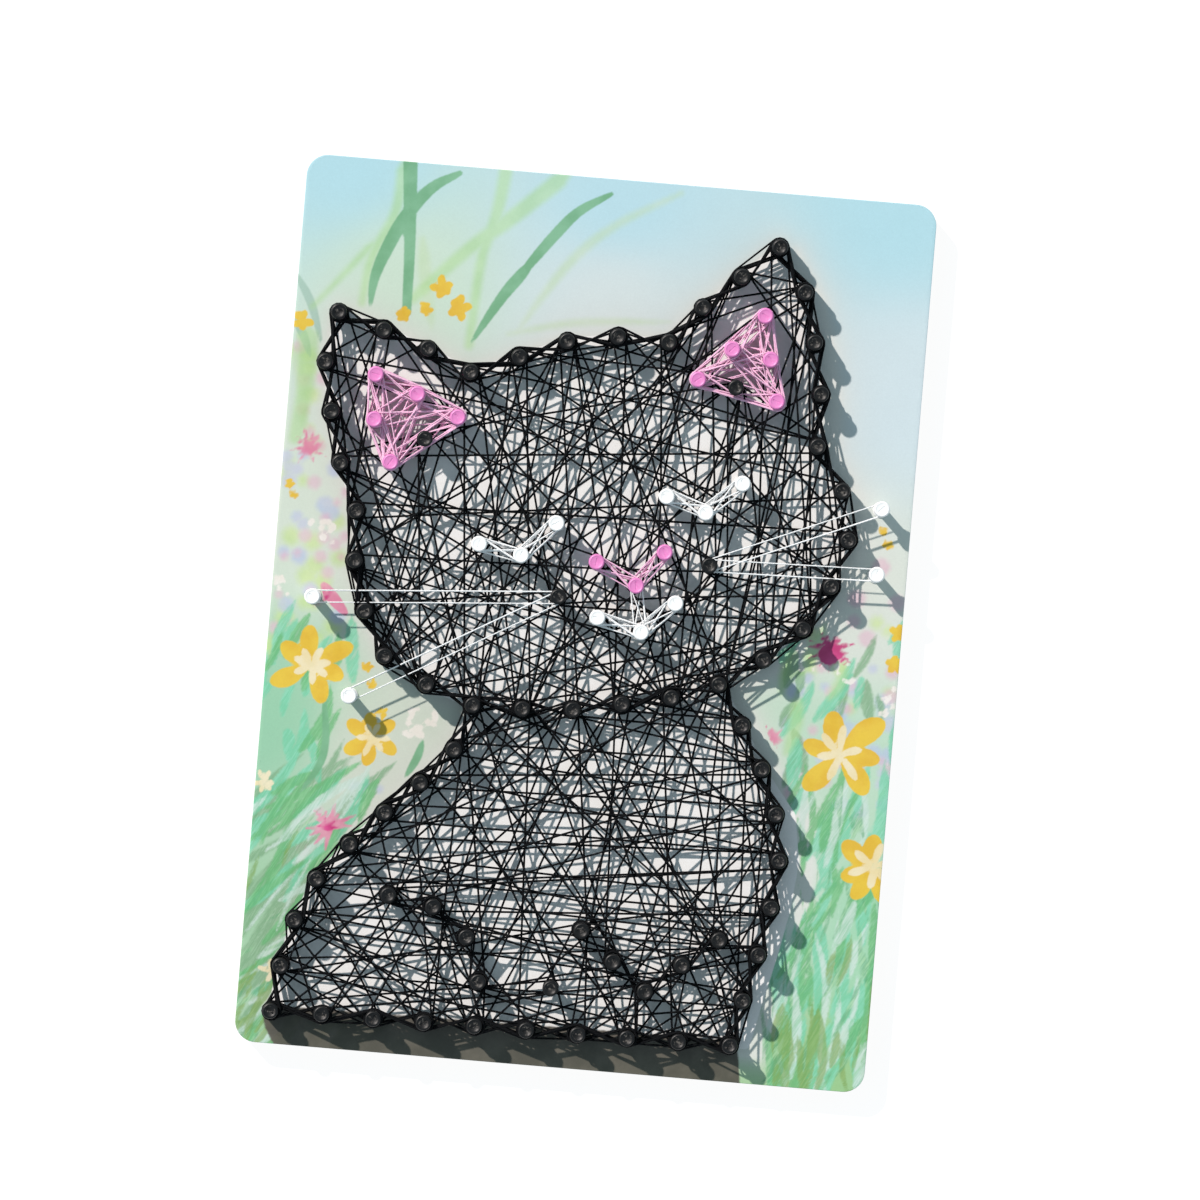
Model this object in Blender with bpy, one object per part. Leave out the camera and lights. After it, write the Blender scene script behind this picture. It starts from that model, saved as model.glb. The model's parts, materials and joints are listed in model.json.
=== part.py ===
"""A string art picture board, built as an assembly of its separate pieces.

A board carries a printed picture of a sitting cat in a meadow. Plastic pins stand in holes
along the cat's outline and features, and thread is wound from pin to pin. The board lies on
its back: +X runs to the picture's right, +Y to its top and +Z out of its face, and the
origin is the middle of the back. Lengths are in metres.
"""

import math

import bmesh
import bpy
from mathutils import Matrix, Vector
from mathutils.geometry import interpolate_bezier

MM = 0.001

# The board: a backing sheet, a core and the picture sheet, one on another.
BOARD_WIDTH = 149 * MM
BOARD_HEIGHT = 210 * MM
CORNER_RADIUS = 5 * MM
CORNER_STEPS = 5
BACKING_THICKNESS = 0.6 * MM
CORE_THICKNESS = 6.2 * MM
SHEET_THICKNESS = 0.6 * MM
LAYER_GAP = 0.3 * MM

# The pin: a tapered shank below a collar, then a stem with a disc for a head.
PIN_SIDES = 8
SHANK_DIAMETER = 1.8 * MM
SHANK_TIP_DIAMETER = 0.9 * MM
COLLAR_DIAMETER = 3.8 * MM
COLLAR_HEIGHT = 0.6 * MM
STEM_DIAMETER = 2.3 * MM
STEM_HEIGHT = 7.2 * MM
HEAD_DIAMETER = 3.7 * MM
HEAD_HEIGHT = 2.2 * MM

# How a pin sits in its hole.
HOLE_SIDES = 8
HOLE_CLEARANCE = 0.35 * MM
HOLE_FLOOR = 1.0 * MM
SEAT_GAP = 0.25 * MM

# The threads, and how they share the height of a stem.
BLACK_THREAD = 0.5 * MM
FINE_THREAD = 0.3 * MM
BUNDLE_WIDTH = 0.9 * MM
THREAD_TO_PIN = 0.3 * MM
THREAD_TO_THREAD = 0.15 * MM
FINE_TO_FINE = 0.06 * MM
WEB_LEVELS = 4
WHISKER_LEGS = 4
MOUTH_LEGS = 4
WIDEST_WRAP_STEP = math.radians(75)
PASSING_SWEEPS = 4

# Heights that follow from the sizes above.
CORE_BOTTOM = BACKING_THICKNESS + LAYER_GAP
CORE_TOP = CORE_BOTTOM + CORE_THICKNESS
FACE = CORE_TOP + LAYER_GAP + SHEET_THICKNESS
HOLE_BOTTOM = CORE_BOTTOM + HOLE_FLOOR
SHANK_BOTTOM = HOLE_BOTTOM + HOLE_CLEARANCE
COLLAR_BOTTOM = FACE + SEAT_GAP
STEM_BOTTOM = COLLAR_BOTTOM + COLLAR_HEIGHT
STEM_TOP = STEM_BOTTOM + STEM_HEIGHT
WEB_PITCH = BLACK_THREAD + THREAD_TO_THREAD
WEB_LOWEST = STEM_BOTTOM + THREAD_TO_PIN + BLACK_THREAD / 2
WEB_TOP = WEB_LOWEST + (WEB_LEVELS - 1) * WEB_PITCH + BLACK_THREAD / 2
FINE_PITCH = FINE_THREAD + FINE_TO_FINE
FINE_HIGHEST = STEM_TOP - THREAD_TO_PIN - FINE_THREAD / 2
WHISKER_LOWEST = FINE_HIGHEST - (WHISKER_LEGS - 1) * FINE_PITCH - FINE_THREAD / 2
BUNDLE_BOTTOM = WEB_TOP + THREAD_TO_PIN
BUNDLE_TOP = WHISKER_LOWEST - THREAD_TO_PIN

# The picture is drawn in millimetres on a board of this size, and stretches with the board.
DRAWN_WIDTH = 149
DRAWN_HEIGHT = 210

COLOURS = {
    "core_fibre": ((0.55, 0.42, 0.28), 0.9),
    "printed_sheet": ((0.62, 0.83, 0.80), 0.6),
    "backing_card": ((0.70, 0.66, 0.58), 0.9),
    "black_plastic": ((0.012, 0.012, 0.014), 0.25),
    "pink_plastic": ((0.88, 0.35, 0.62), 0.35),
    "white_plastic": ((0.90, 0.90, 0.88), 0.35),
    "black_thread": ((0.015, 0.015, 0.018), 0.85),
    "pink_thread": ((0.90, 0.45, 0.68), 0.85),
    "white_thread": ((0.90, 0.90, 0.88), 0.85),
}


def clear_scene():
    for thing in list(bpy.data.objects):
        bpy.data.objects.remove(thing, do_unlink=True)


def finish(name):
    """The material of one finish, made the first time that it is asked for."""
    material = bpy.data.materials.get(name)
    if material is None:
        colour, roughness = COLOURS[name]
        material = bpy.data.materials.new(name)
        material.use_nodes = True
        shader = material.node_tree.nodes["Principled BSDF"]
        shader.inputs["Base Color"].default_value = (*colour, 1)
        shader.inputs["Roughness"].default_value = roughness
        shader.inputs["Metallic"].default_value = 0
    return material


def add_object(name, data, material):
    thing = bpy.data.objects.new(name, data)
    bpy.context.scene.collection.objects.link(thing)
    if material:
        data.materials.append(finish(material))
    return thing


def mesh_from(bm, name):
    bmesh.ops.recalc_face_normals(bm, faces=bm.faces)
    mesh = bpy.data.meshes.new(name)
    bm.to_mesh(mesh)
    bm.free()
    return mesh


# ---- Where the pins stand -------------------------------------------------------------


def spot(x, y):
    """A place on the board, from the drawn picture's millimetres."""
    return Vector((x * BOARD_WIDTH / DRAWN_WIDTH, y * BOARD_HEIGHT / DRAWN_HEIGHT))


def smooth_path(knots):
    """Close-set points on a smooth curve through the knots."""
    path = [knots[0]]
    last = len(knots) - 1
    for i in range(last):
        a = knots[i]
        b = knots[i + 1]
        leave = (b - knots[max(i - 1, 0)]).normalized()
        arrive = (knots[min(i + 2, last)] - a).normalized()
        handle = (b - a).length / 3
        path += interpolate_bezier(a, a + leave * handle, b - arrive * handle, b, 24)[1:]
    return path


def stretch(drawn, count):
    """count pins, evenly spaced along a smooth curve through the drawn points."""
    knots = [spot(x, y) for x, y in drawn]
    path = smooth_path(knots)
    lengths = [0.0]
    for a, b in zip(path, path[1:]):
        lengths.append(lengths[-1] + (b - a).length)
    pins = [knots[0]]
    step = 0
    for i in range(1, count - 1):
        wanted = lengths[-1] * i / (count - 1)
        while step < len(path) - 2 and lengths[step + 1] < wanted:
            step += 1
        share = (wanted - lengths[step]) / (lengths[step + 1] - lengths[step])
        pins.append(path[step].lerp(path[step + 1], share))
    return pins + [knots[-1]]


# The outline, as stretches that share their end pins.
ear_left_inner = stretch([(-64, 68), (-48.5, 63.5), (-32, 56.5)], 4)
forehead = stretch([(-32, 56.5), (-9, 66), (3, 68), (14, 67.5)], 5)
ear_right_inner = stretch([(14, 67.5), (22, 77), (38, 92)], 4)
ear_right_outer = stretch([(38, 92), (44.5, 83), (50.5, 59), (51, 46)], 5)
cheek_right = stretch([(51, 46), (57.5, 36), (60, 25), (51.5, 3.5), (32.5, -11.5)], 7)
ear_left_outer = stretch([(-64, 68), (-66, 56), (-60.5, 32.5), (-56, 22)], 5)
cheek_left = stretch([(-56, 22), (-55.5, 10.5), (-46.5, -11.5), (-25, -21.5)], 6)
chin = stretch([(-25, -21.5), (-1.5, -20.5), (21.5, -15.5), (32.5, -11.5)], 6)
back = stretch([(-25, -21.5), (-28, -31.5), (-58, -65), (-65, -86.5), (-66, -97)], 9)
base = stretch([(-66, -97), (42, -96)], 10)
chest = stretch([(32.5, -11.5), (44, -30.5), (50, -52), (42, -96)], 9)

# Inside the outline.
haunch = stretch([(-41, -67.5), (-29.5, -69.5), (-21.5, -76.5), (-18, -86)], 4)
legs = stretch([(5, -72), (21, -85)], 3) + stretch([(21, -85), (37.5, -71.5)], 3)[1:]
left_ear = [spot(-54, 54), spot(-44, 50.5), spot(-34, 46), spot(-49, 34), spot(-53.5, 43.5)]
right_ear = [spot(21.5, 59.5), spot(29, 67), spot(36, 75.5), spot(38, 65.5), spot(40.5, 55.5)]
nose = [spot(1.5, 14.5), spot(11, 10), spot(17, 18)]
left_eye = [spot(-26.5, 16.5), spot(-16.5, 14.5), spot(-9, 23)]
right_eye = [spot(16.5, 31.5), spot(26, 28.5), spot(34, 36)]
mouth = [spot(2.5, 1.5), spot(13, -1), spot(20.5, 6.5)]
left_whiskers = [spot(-64.5, 1), spot(-54, -21.5)]
right_whiskers = [spot(67, 32.5), spot(67, 17)]
left_cheek_pin = spot(-7, 5.5)
right_cheek_pin = spot(28, 16)
left_ear_black_pin = spot(-41.5, 40)
right_ear_black_pin = spot(30.5, 58)
paw_pin = spot(-1, -86)

# Each row of black pins, with where the outline thread goes on from which of its pins.
ROWS = {
    "left_ear_inner_row": (ear_left_inner, [(-1, forehead[1])]),
    "forehead_row": (forehead[1:], [(-1, ear_right_inner[1])]),
    "right_ear_inner_row": (ear_right_inner[1:], [(-1, ear_right_outer[1])]),
    "right_ear_outer_row": (ear_right_outer[1:], [(-1, cheek_right[1])]),
    "right_cheek_row": (cheek_right[1:], [(-1, chest[1])]),
    "left_ear_outer_row": (ear_left_outer[1:], [(0, ear_left_outer[0])]),
    "left_cheek_row": (cheek_left[1:], [(0, cheek_left[0])]),
    "chin_row": (chin[1:-1], [(0, chin[0]), (-1, chin[-1])]),
    "upper_back_row": (back[1:5], [(0, back[0])]),
    "lower_back_row": (back[5:], [(0, back[4])]),
    "left_base_row": (base[1:5], [(0, base[0])]),
    "right_base_row": (base[5:], [(0, base[4])]),
    "chest_row": (chest[1:5], [(-1, chest[5])]),
    "right_flank_row": (chest[5:-1], [(-1, chest[-1])]),
    "haunch_row": (haunch, [(-1, base[4])]),
    "leg_row": (legs, [(2, base[7])]),
}

SINGLE_PINS = {
    "left_ear_pin": (left_ear, "pink_plastic"),
    "right_ear_pin": (right_ear, "pink_plastic"),
    "nose_pin": (nose, "pink_plastic"),
    "left_eye_pin": (left_eye, "white_plastic"),
    "right_eye_pin": (right_eye, "white_plastic"),
    "mouth_pin": (mouth, "white_plastic"),
    "left_whisker_pin": (left_whiskers, "white_plastic"),
    "right_whisker_pin": (right_whiskers, "white_plastic"),
    "left_cheek_pin": ([left_cheek_pin], "black_plastic"),
    "right_cheek_pin": ([right_cheek_pin], "black_plastic"),
    "left_ear_black_pin": ([left_ear_black_pin], "black_plastic"),
    "right_ear_black_pin": ([right_ear_black_pin], "black_plastic"),
    "paw_pin": ([paw_pin], "black_plastic"),
}

ALL_PINS = [pin for pins, _ in ROWS.values() for pin in pins]
ALL_PINS += [pin for pins, _ in SINGLE_PINS.values() for pin in pins]


# ---- The board ------------------------------------------------------------------------


def board_outline():
    """The board's edge, anticlockwise, with its four corners rounded."""
    points = []
    for quarter, (right, up) in enumerate([(1, 1), (-1, 1), (-1, -1), (1, -1)]):
        centre_x = right * (BOARD_WIDTH / 2 - CORNER_RADIUS)
        centre_y = up * (BOARD_HEIGHT / 2 - CORNER_RADIUS)
        for step in range(CORNER_STEPS + 1):
            angle = math.pi / 2 * (quarter + step / CORNER_STEPS)
            x = centre_x + CORNER_RADIUS * math.cos(angle)
            y = centre_y + CORNER_RADIUS * math.sin(angle)
            points.append((x, y))
    return points


def board_layer(name, bottom, thickness, material):
    bm = bmesh.new()
    face = bm.faces.new([bm.verts.new((x, y, bottom)) for x, y in board_outline()])
    raised = bmesh.ops.extrude_face_region(bm, geom=[face])["geom"]
    corners = [item for item in raised if isinstance(item, bmesh.types.BMVert)]
    bmesh.ops.translate(bm, verts=corners, vec=(0, 0, thickness))
    return add_object(name, mesh_from(bm, name), material)


def turned(profile, sides):
    """A bmesh of a round solid, from its profile of (radius, height) from bottom to top."""
    bm = bmesh.new()
    radius, height = profile[0]
    bmesh.ops.create_circle(
        bm, cap_ends=True, radius=radius, segments=sides, matrix=Matrix.Translation((0, 0, height))
    )
    bm.faces.ensure_lookup_table()
    top = bm.faces[0]
    for step, (next_radius, next_height) in enumerate(profile[1:]):
        raised = bmesh.ops.extrude_face_region(bm, geom=[top])["geom"]
        if step > 0:
            bmesh.ops.delete(bm, geom=[top], context="FACES_ONLY")
        top = next(item for item in raised if isinstance(item, bmesh.types.BMFace))
        widen = next_radius / radius
        bmesh.ops.scale(bm, verts=top.verts, vec=(widen, widen, 1))
        bmesh.ops.translate(bm, verts=top.verts, vec=(0, 0, next_height - height))
        radius, height = next_radius, next_height
    return bm


def repeated(bm, spots):
    """A bmesh with a copy of bm's solid at each spot. It uses bm up."""
    solid = bpy.data.meshes.new("solid")
    bm.to_mesh(solid)
    bm.free()
    copies = bmesh.new()
    for x, y in spots:
        old = len(copies.verts)
        copies.from_mesh(solid)
        copies.verts.ensure_lookup_table()
        bmesh.ops.translate(copies, verts=copies.verts[old:], vec=(x, y, 0))
    bpy.data.meshes.remove(solid)
    return copies


def as_cutter(thing):
    thing.hide_render = True
    thing.display_type = "WIRE"
    return thing


def make_board():
    board_layer("backing_sheet", 0, BACKING_THICKNESS, "backing_card")
    core = board_layer("board_core", CORE_BOTTOM, CORE_THICKNESS, "core_fibre")
    sheet_bottom = CORE_TOP + LAYER_GAP
    sheet = board_layer("picture_sheet", sheet_bottom, SHEET_THICKNESS, "printed_sheet")

    radius = SHANK_DIAMETER / 2 + HOLE_CLEARANCE
    above = FACE + COLLAR_HEIGHT
    drill = turned([(radius, HOLE_BOTTOM), (radius, above)], HOLE_SIDES)
    holes = add_object("pin_holes", mesh_from(repeated(drill, ALL_PINS), "pin_holes"), None)
    as_cutter(holes)
    for layer in (core, sheet):
        cut = layer.modifiers.new("Pin holes", "BOOLEAN")
        cut.operation = "DIFFERENCE"
        cut.solver = "EXACT"
        cut.object = holes


# ---- The pins -------------------------------------------------------------------------


def pin_solid():
    shank = SHANK_DIAMETER / 2
    collar = COLLAR_DIAMETER / 2
    stem = STEM_DIAMETER / 2
    head = HEAD_DIAMETER / 2
    profile = [
        (SHANK_TIP_DIAMETER / 2, SHANK_BOTTOM),
        (shank, COLLAR_BOTTOM),
        (collar, COLLAR_BOTTOM),
        (stem, STEM_BOTTOM),
        (stem, STEM_TOP),
        (head, STEM_TOP),
        (head, STEM_TOP + HEAD_HEIGHT),
    ]
    return turned(profile, PIN_SIDES)


def make_single_pins():
    mesh = mesh_from(pin_solid(), "pin")
    mesh.shade_smooth()
    mesh.set_sharp_from_angle(angle=math.radians(50))
    for name, (spots, material) in SINGLE_PINS.items():
        for number, place in enumerate(spots, 1):
            own = mesh.copy()
            label = f"{name}_{number}" if len(spots) > 1 else name
            pin = add_object(label, own, material)
            pin.location = (*place, 0)


def bundle(collection, start, end):
    """A straight run of the outline's wound thread, as a flat band on edge."""
    along = end - start
    middle = (start + end) / 2
    bm = bmesh.new()
    bmesh.ops.create_cube(bm, size=1)
    size = Matrix.Diagonal((along.length, BUNDLE_WIDTH, BUNDLE_TOP - BUNDLE_BOTTOM, 1))
    turn = Matrix.Rotation(math.atan2(along.y, along.x), 4, "Z")
    lift = Matrix.Translation((*middle, (BUNDLE_TOP + BUNDLE_BOTTOM) / 2))
    bmesh.ops.transform(bm, matrix=lift @ turn @ size, verts=bm.verts)
    band = bpy.data.objects.new("band", mesh_from(bm, "band"))
    collection.objects.link(as_cutter(band))


def make_row(name, spots, onward):
    """A row of black pins, joined by the bundle of outline thread that is wound round them."""
    bands = bpy.data.collections.new(name + "_bands")
    bpy.context.scene.collection.children.link(bands)
    inside = STEM_DIAMETER / 8
    for a, b in zip(spots, spots[1:]):
        along = (b - a).normalized()
        bundle(bands, a + along * inside, b - along * inside)
    for index, target in onward:
        along = (target - spots[index]).normalized()
        short = STEM_DIAMETER / 2 + THREAD_TO_PIN
        bundle(bands, spots[index] + along * inside, target - along * short)

    row = add_object(name, mesh_from(repeated(pin_solid(), spots), name), "black_plastic")
    row.data.shade_smooth()
    row.data.set_sharp_from_angle(angle=math.radians(50))
    join = row.modifiers.new("Outline thread", "BOOLEAN")
    join.operation = "UNION"
    join.solver = "EXACT"
    join.operand_type = "COLLECTION"
    join.collection = bands


# ---- The threads ----------------------------------------------------------------------


def side_of(direction, turn):
    """The unit vector to a runner's right for a left turn (turn 1), or left for a right one."""
    return Vector((direction.y, -direction.x)) * turn


def stops_of(route, levels):
    """The route's pins, each with the way the thread turns there and its levels in and out."""
    last = len(route) - 1
    stops = []
    for i, pin in enumerate(route):
        before, here, after = route[min(max(i, 1), last - 1) - 1 :][:3]
        turn = 1 if (here - before).cross(after - here) >= 0 else -1
        stops.append((pin, turn, levels[max(i - 1, 0)], levels[min(i, last - 1)]))
    return stops


def tangents(stops, radius):
    """The direction of each leg, which touches a circle of this radius round each of its pins."""
    directions = []
    for (pin, turn, _, _), (next_pin, next_turn, _, _) in zip(stops, stops[1:]):
        apart = next_pin - pin
        swing = math.asin(radius * (turn - next_turn) / apart.length)
        apart.rotate(Matrix.Rotation(swing, 2))
        directions.append(apart.normalized())
    return directions


def with_passed_pins(stops, radius):
    """The stops, with each pin that stands in a leg's way added as one that it bends round."""
    for _ in range(PASSING_SWEEPS):
        longer = []
        for i, direction in enumerate(tangents(stops, radius)):
            pin, turn, _, level = stops[i]
            next_pin, next_turn = stops[i + 1][:2]
            start = pin + side_of(direction, turn) * radius
            length = (next_pin + side_of(direction, next_turn) * radius - start).length
            in_way = []
            for other in ALL_PINS:
                along = (other - start).dot(direction)
                aside = (other - start).cross(direction)
                if other not in (pin, next_pin) and 0 < along < length and abs(aside) < radius:
                    in_way.append((along, (other, 1 if aside < 0 else -1, level, level)))
            longer.append(stops[i])
            longer += [stop for _, stop in sorted(in_way, key=lambda passed: passed[0])]
        longer.append(stops[-1])
        stops = longer
    return stops


def wind(route, levels, diameter):
    """The points of a thread that runs from pin to pin, with each leg at its own level."""
    radius = STEM_DIAMETER / 2 + THREAD_TO_PIN + diameter / 2
    stops = with_passed_pins(stops_of(route, levels), radius)
    directions = tangents(stops, radius)
    directions = directions[:1] + directions + directions[-1:]
    points = []
    for i, (pin, turn, arrive, leave) in enumerate(stops):
        angle = directions[i].angle_signed(directions[i + 1]) * -turn
        if angle < -math.pi / 2:
            angle += 2 * math.pi
        steps = max(1 if arrive == leave else 2, math.ceil(angle / WIDEST_WRAP_STEP))
        bends = steps if angle > 0 else 1
        step = angle / bends
        for j in range(steps):
            offset = side_of(directions[i], turn) * radius / math.cos(step / 2)
            offset.rotate(Matrix.Rotation(turn * step * (min(j, bends - 1) + 0.5), 2))
            share = j / (steps - 1) if steps > 1 else 0
            points.append((*(pin + offset), arrive + (leave - arrive) * share))
    return points


def add_thread(name, route, levels, diameter, material):
    points = wind(route, levels, diameter)
    curve = bpy.data.curves.new(name, "CURVE")
    curve.dimensions = "3D"
    curve.bevel_depth = diameter / 2
    curve.bevel_resolution = 0
    curve.use_fill_caps = True
    line = curve.splines.new("POLY")
    line.points.add(len(points) - 1)
    for knot, place in zip(line.points, points):
        knot.co = (*place, 1)
    add_object(name, curve, material)


def zigzag(one_side, other_side):
    """A route that goes to and fro between two rows, taking their pins in turn."""
    route = []
    for i in range(max(len(one_side), len(other_side))):
        route += one_side[i : i + 1]
        route += other_side[i : i + 1]
    return route


def web_levels(lower_legs, all_legs):
    """The lower layer's legs take turns at the two lowest levels, and the rest at the next two."""
    levels = []
    for leg in range(all_legs):
        layer = 0 if leg < lower_legs else 2
        levels.append(WEB_LOWEST + (layer + leg % 2) * WEB_PITCH)
    return levels


def fine_levels(legs, levels_below=0):
    """A level for each leg, one thread above another, with the last under the pin's head."""
    return [FINE_HIGHEST - (levels_below + legs - 1 - leg) * FINE_PITCH for leg in range(legs)]


def add_web(name, lower, upper):
    route = lower + upper
    levels = web_levels(len(lower) - 1, len(route) - 1)
    add_thread(name, route, levels, BLACK_THREAD, "black_thread")


def add_fine_thread(name, route, material, levels_below=0):
    levels = fine_levels(len(route) - 1, levels_below)
    add_thread(name, route, levels, FINE_THREAD, material)


def make_threads():
    left_side = (ear_left_outer[2:] + cheek_left[1:-2])[::-1]
    right_side = cheek_right[-2::-1]
    top = (ear_left_inner + forehead[1:] + ear_right_inner[1:])[:0:-1]
    jaw = (cheek_left[1:] + chin[1:])[::-1]
    add_web("head_thread", zigzag(left_side, right_side), zigzag(top, jaw))
    upright = zigzag(base[::2], chin[1:-1])
    add_web("body_thread", upright, zigzag(chest[-2:0:-1], back[-2:0:-1]))

    for name, (a, b, c, d, e) in (("left_ear", left_ear), ("right_ear", right_ear)):
        add_fine_thread(name + "_thread", [a, b, c, d, e, a, c, e], "pink_thread")
    add_fine_thread("nose_thread", [nose[0], nose[1], nose[2], nose[1]], "pink_thread", MOUTH_LEGS)
    for name, (a, b, c) in (("left_eye", left_eye), ("right_eye", right_eye)):
        add_fine_thread(name + "_thread", [a, b, c, b, a], "white_thread")
    smile = [mouth[0], mouth[1], nose[1], mouth[1], mouth[2]]
    add_fine_thread("mouth_thread", smile, "white_thread")
    for name, cheek, pins in (
        ("left_whisker_thread", left_cheek_pin, left_whiskers),
        ("right_whisker_thread", right_cheek_pin, right_whiskers),
    ):
        add_fine_thread(name, [cheek, pins[0], cheek, pins[1], cheek], "white_thread")


clear_scene()
make_board()
make_single_pins()
for row_name, (row_spots, row_onward) in ROWS.items():
    make_row(row_name, row_spots, row_onward)
make_threads()
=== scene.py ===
"""The looks of a string art picture board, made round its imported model.

A board with a printed meadow carries plastic pins along the outline and the features of a
sitting cat, and thread is wound from pin to pin. The board lies on its back: +X runs to the
picture's right, +Y to its top and +Z out of its face. Places and sizes are in millimetres
here, and become metres where a mesh is made.
"""

import json
import math
import random

import bmesh
import bpy
import numpy as np
from mathutils import Matrix, Vector
from mathutils.geometry import interpolate_bezier


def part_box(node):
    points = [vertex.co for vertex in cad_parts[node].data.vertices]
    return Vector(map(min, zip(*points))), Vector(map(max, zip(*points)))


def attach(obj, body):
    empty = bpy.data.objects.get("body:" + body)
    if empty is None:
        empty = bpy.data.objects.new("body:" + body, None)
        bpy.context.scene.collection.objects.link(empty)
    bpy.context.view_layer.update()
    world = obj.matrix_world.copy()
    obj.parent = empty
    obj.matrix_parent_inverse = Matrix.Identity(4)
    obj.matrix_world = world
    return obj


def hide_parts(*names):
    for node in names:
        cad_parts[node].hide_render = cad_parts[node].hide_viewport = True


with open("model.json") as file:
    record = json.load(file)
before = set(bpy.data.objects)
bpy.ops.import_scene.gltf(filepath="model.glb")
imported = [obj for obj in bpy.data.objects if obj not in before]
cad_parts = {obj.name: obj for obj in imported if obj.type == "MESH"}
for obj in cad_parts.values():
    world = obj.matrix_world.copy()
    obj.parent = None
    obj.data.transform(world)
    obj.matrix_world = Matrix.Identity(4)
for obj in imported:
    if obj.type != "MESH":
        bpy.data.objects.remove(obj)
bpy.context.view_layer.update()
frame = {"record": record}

MM = 0.001
BODY = "root"


def node_box(node):
    """A node's lowest and highest corners, in millimetres."""
    low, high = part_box(node)
    return low / MM, high / MM


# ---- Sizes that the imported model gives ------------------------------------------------

sheet_low, sheet_high = node_box("picture_sheet")
core_low, core_high = node_box("board_core")
backing_low, backing_high = node_box("backing_sheet")
pin_low, pin_high = node_box("nose_pin_1")

BOARD_WIDTH = sheet_high.x - sheet_low.x
BOARD_HEIGHT = sheet_high.y - sheet_low.y
FACE = sheet_high.z
HEAD_TOP = pin_high.z
SHANK_END = pin_low.z
HEAD_RADIUS = (pin_high.x - pin_low.x) / 2

# ---- The picture's own sizes ----------------------------------------------------------

CORNER_RADIUS = 5
STEM_RADIUS = 1.15
HEAD_HEIGHT = 2.2
COLLAR_HEIGHT = 0.6
SEAT_GAP = 0.25
STEM_BOTTOM = FACE + SEAT_GAP + COLLAR_HEIGHT
STEM_TOP = HEAD_TOP - HEAD_HEIGHT
BLACK_THREAD = 0.5
FINE_THREAD = 0.3

DRAWN_WIDTH = 149
DRAWN_HEIGHT = 210


# ---- Where the pins stand -------------------------------------------------------------


def spot(x, y):
    """A place on the board, from the drawn picture's millimetres."""
    return Vector((x * BOARD_WIDTH / DRAWN_WIDTH, y * BOARD_HEIGHT / DRAWN_HEIGHT))


def smooth_path(knots, steps=24):
    """Close-set points on a smooth curve through the knots."""
    path = [knots[0]]
    last = len(knots) - 1
    for i in range(last):
        a = knots[i]
        b = knots[i + 1]
        leave = (b - knots[max(i - 1, 0)]).normalized()
        arrive = (knots[min(i + 2, last)] - a).normalized()
        handle = (b - a).length / 3
        path += interpolate_bezier(a, a + leave * handle, b - arrive * handle, b, steps)[1:]
    return path


def stretch(drawn, count):
    """count pins, evenly spaced along a smooth curve through the drawn points."""
    knots = [spot(x, y) for x, y in drawn]
    path = smooth_path(knots)
    lengths = [0.0]
    for a, b in zip(path, path[1:]):
        lengths.append(lengths[-1] + (b - a).length)
    pins = [knots[0]]
    step = 0
    for i in range(1, count - 1):
        wanted = lengths[-1] * i / (count - 1)
        while step < len(path) - 2 and lengths[step + 1] < wanted:
            step += 1
        share = (wanted - lengths[step]) / (lengths[step + 1] - lengths[step])
        pins.append(path[step].lerp(path[step + 1], share))
    return pins + [knots[-1]]


# The outline, as stretches that share their end pins.
ear_left_inner = stretch([(-64, 68), (-48.5, 63.5), (-32, 56.5)], 4)
forehead = stretch([(-32, 56.5), (-9, 66), (3, 68), (14, 67.5)], 5)
ear_right_inner = stretch([(14, 67.5), (22, 77), (38, 92)], 4)
ear_right_outer = stretch([(38, 92), (44.5, 83), (50.5, 59), (51, 46)], 5)
cheek_right = stretch([(51, 46), (57.5, 36), (60, 25), (51.5, 3.5), (32.5, -11.5)], 7)
ear_left_outer = stretch([(-64, 68), (-66, 56), (-60.5, 32.5), (-56, 22)], 5)
cheek_left = stretch([(-56, 22), (-55.5, 10.5), (-46.5, -11.5), (-25, -21.5)], 6)
chin = stretch([(-25, -21.5), (-1.5, -20.5), (21.5, -15.5), (32.5, -11.5)], 6)
back = stretch([(-25, -21.5), (-28, -31.5), (-58, -65), (-65, -86.5), (-66, -97)], 9)
base = stretch([(-66, -97), (42, -96)], 10)
chest = stretch([(32.5, -11.5), (44, -30.5), (50, -52), (42, -96)], 9)

# Inside the outline.
haunch = stretch([(-41, -67.5), (-29.5, -69.5), (-21.5, -76.5), (-18, -86)], 4)
legs = stretch([(5, -72), (21, -85)], 3) + stretch([(21, -85), (37.5, -71.5)], 3)[1:]
left_ear = [spot(-54, 54), spot(-44, 50.5), spot(-34, 46), spot(-49, 34), spot(-53.5, 43.5)]
right_ear = [spot(21.5, 59.5), spot(29, 67), spot(36, 75.5), spot(38, 65.5), spot(40.5, 55.5)]
nose = [spot(1.5, 14.5), spot(11, 10), spot(17, 18)]
left_eye = [spot(-26.5, 16.5), spot(-16.5, 14.5), spot(-9, 23)]
right_eye = [spot(16.5, 31.5), spot(26, 28.5), spot(34, 36)]
mouth = [spot(2.5, 1.5), spot(13, -1), spot(20.5, 6.5)]
left_whiskers = [spot(-64.5, 1), spot(-54, -21.5)]
right_whiskers = [spot(67, 32.5), spot(67, 17)]
left_cheek_pin = spot(-7, 5.5)
right_cheek_pin = spot(28, 16)
left_ear_black_pin = spot(-41.5, 40)
right_ear_black_pin = spot(30.5, 58)
paw_pin = spot(-1, -86)

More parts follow.
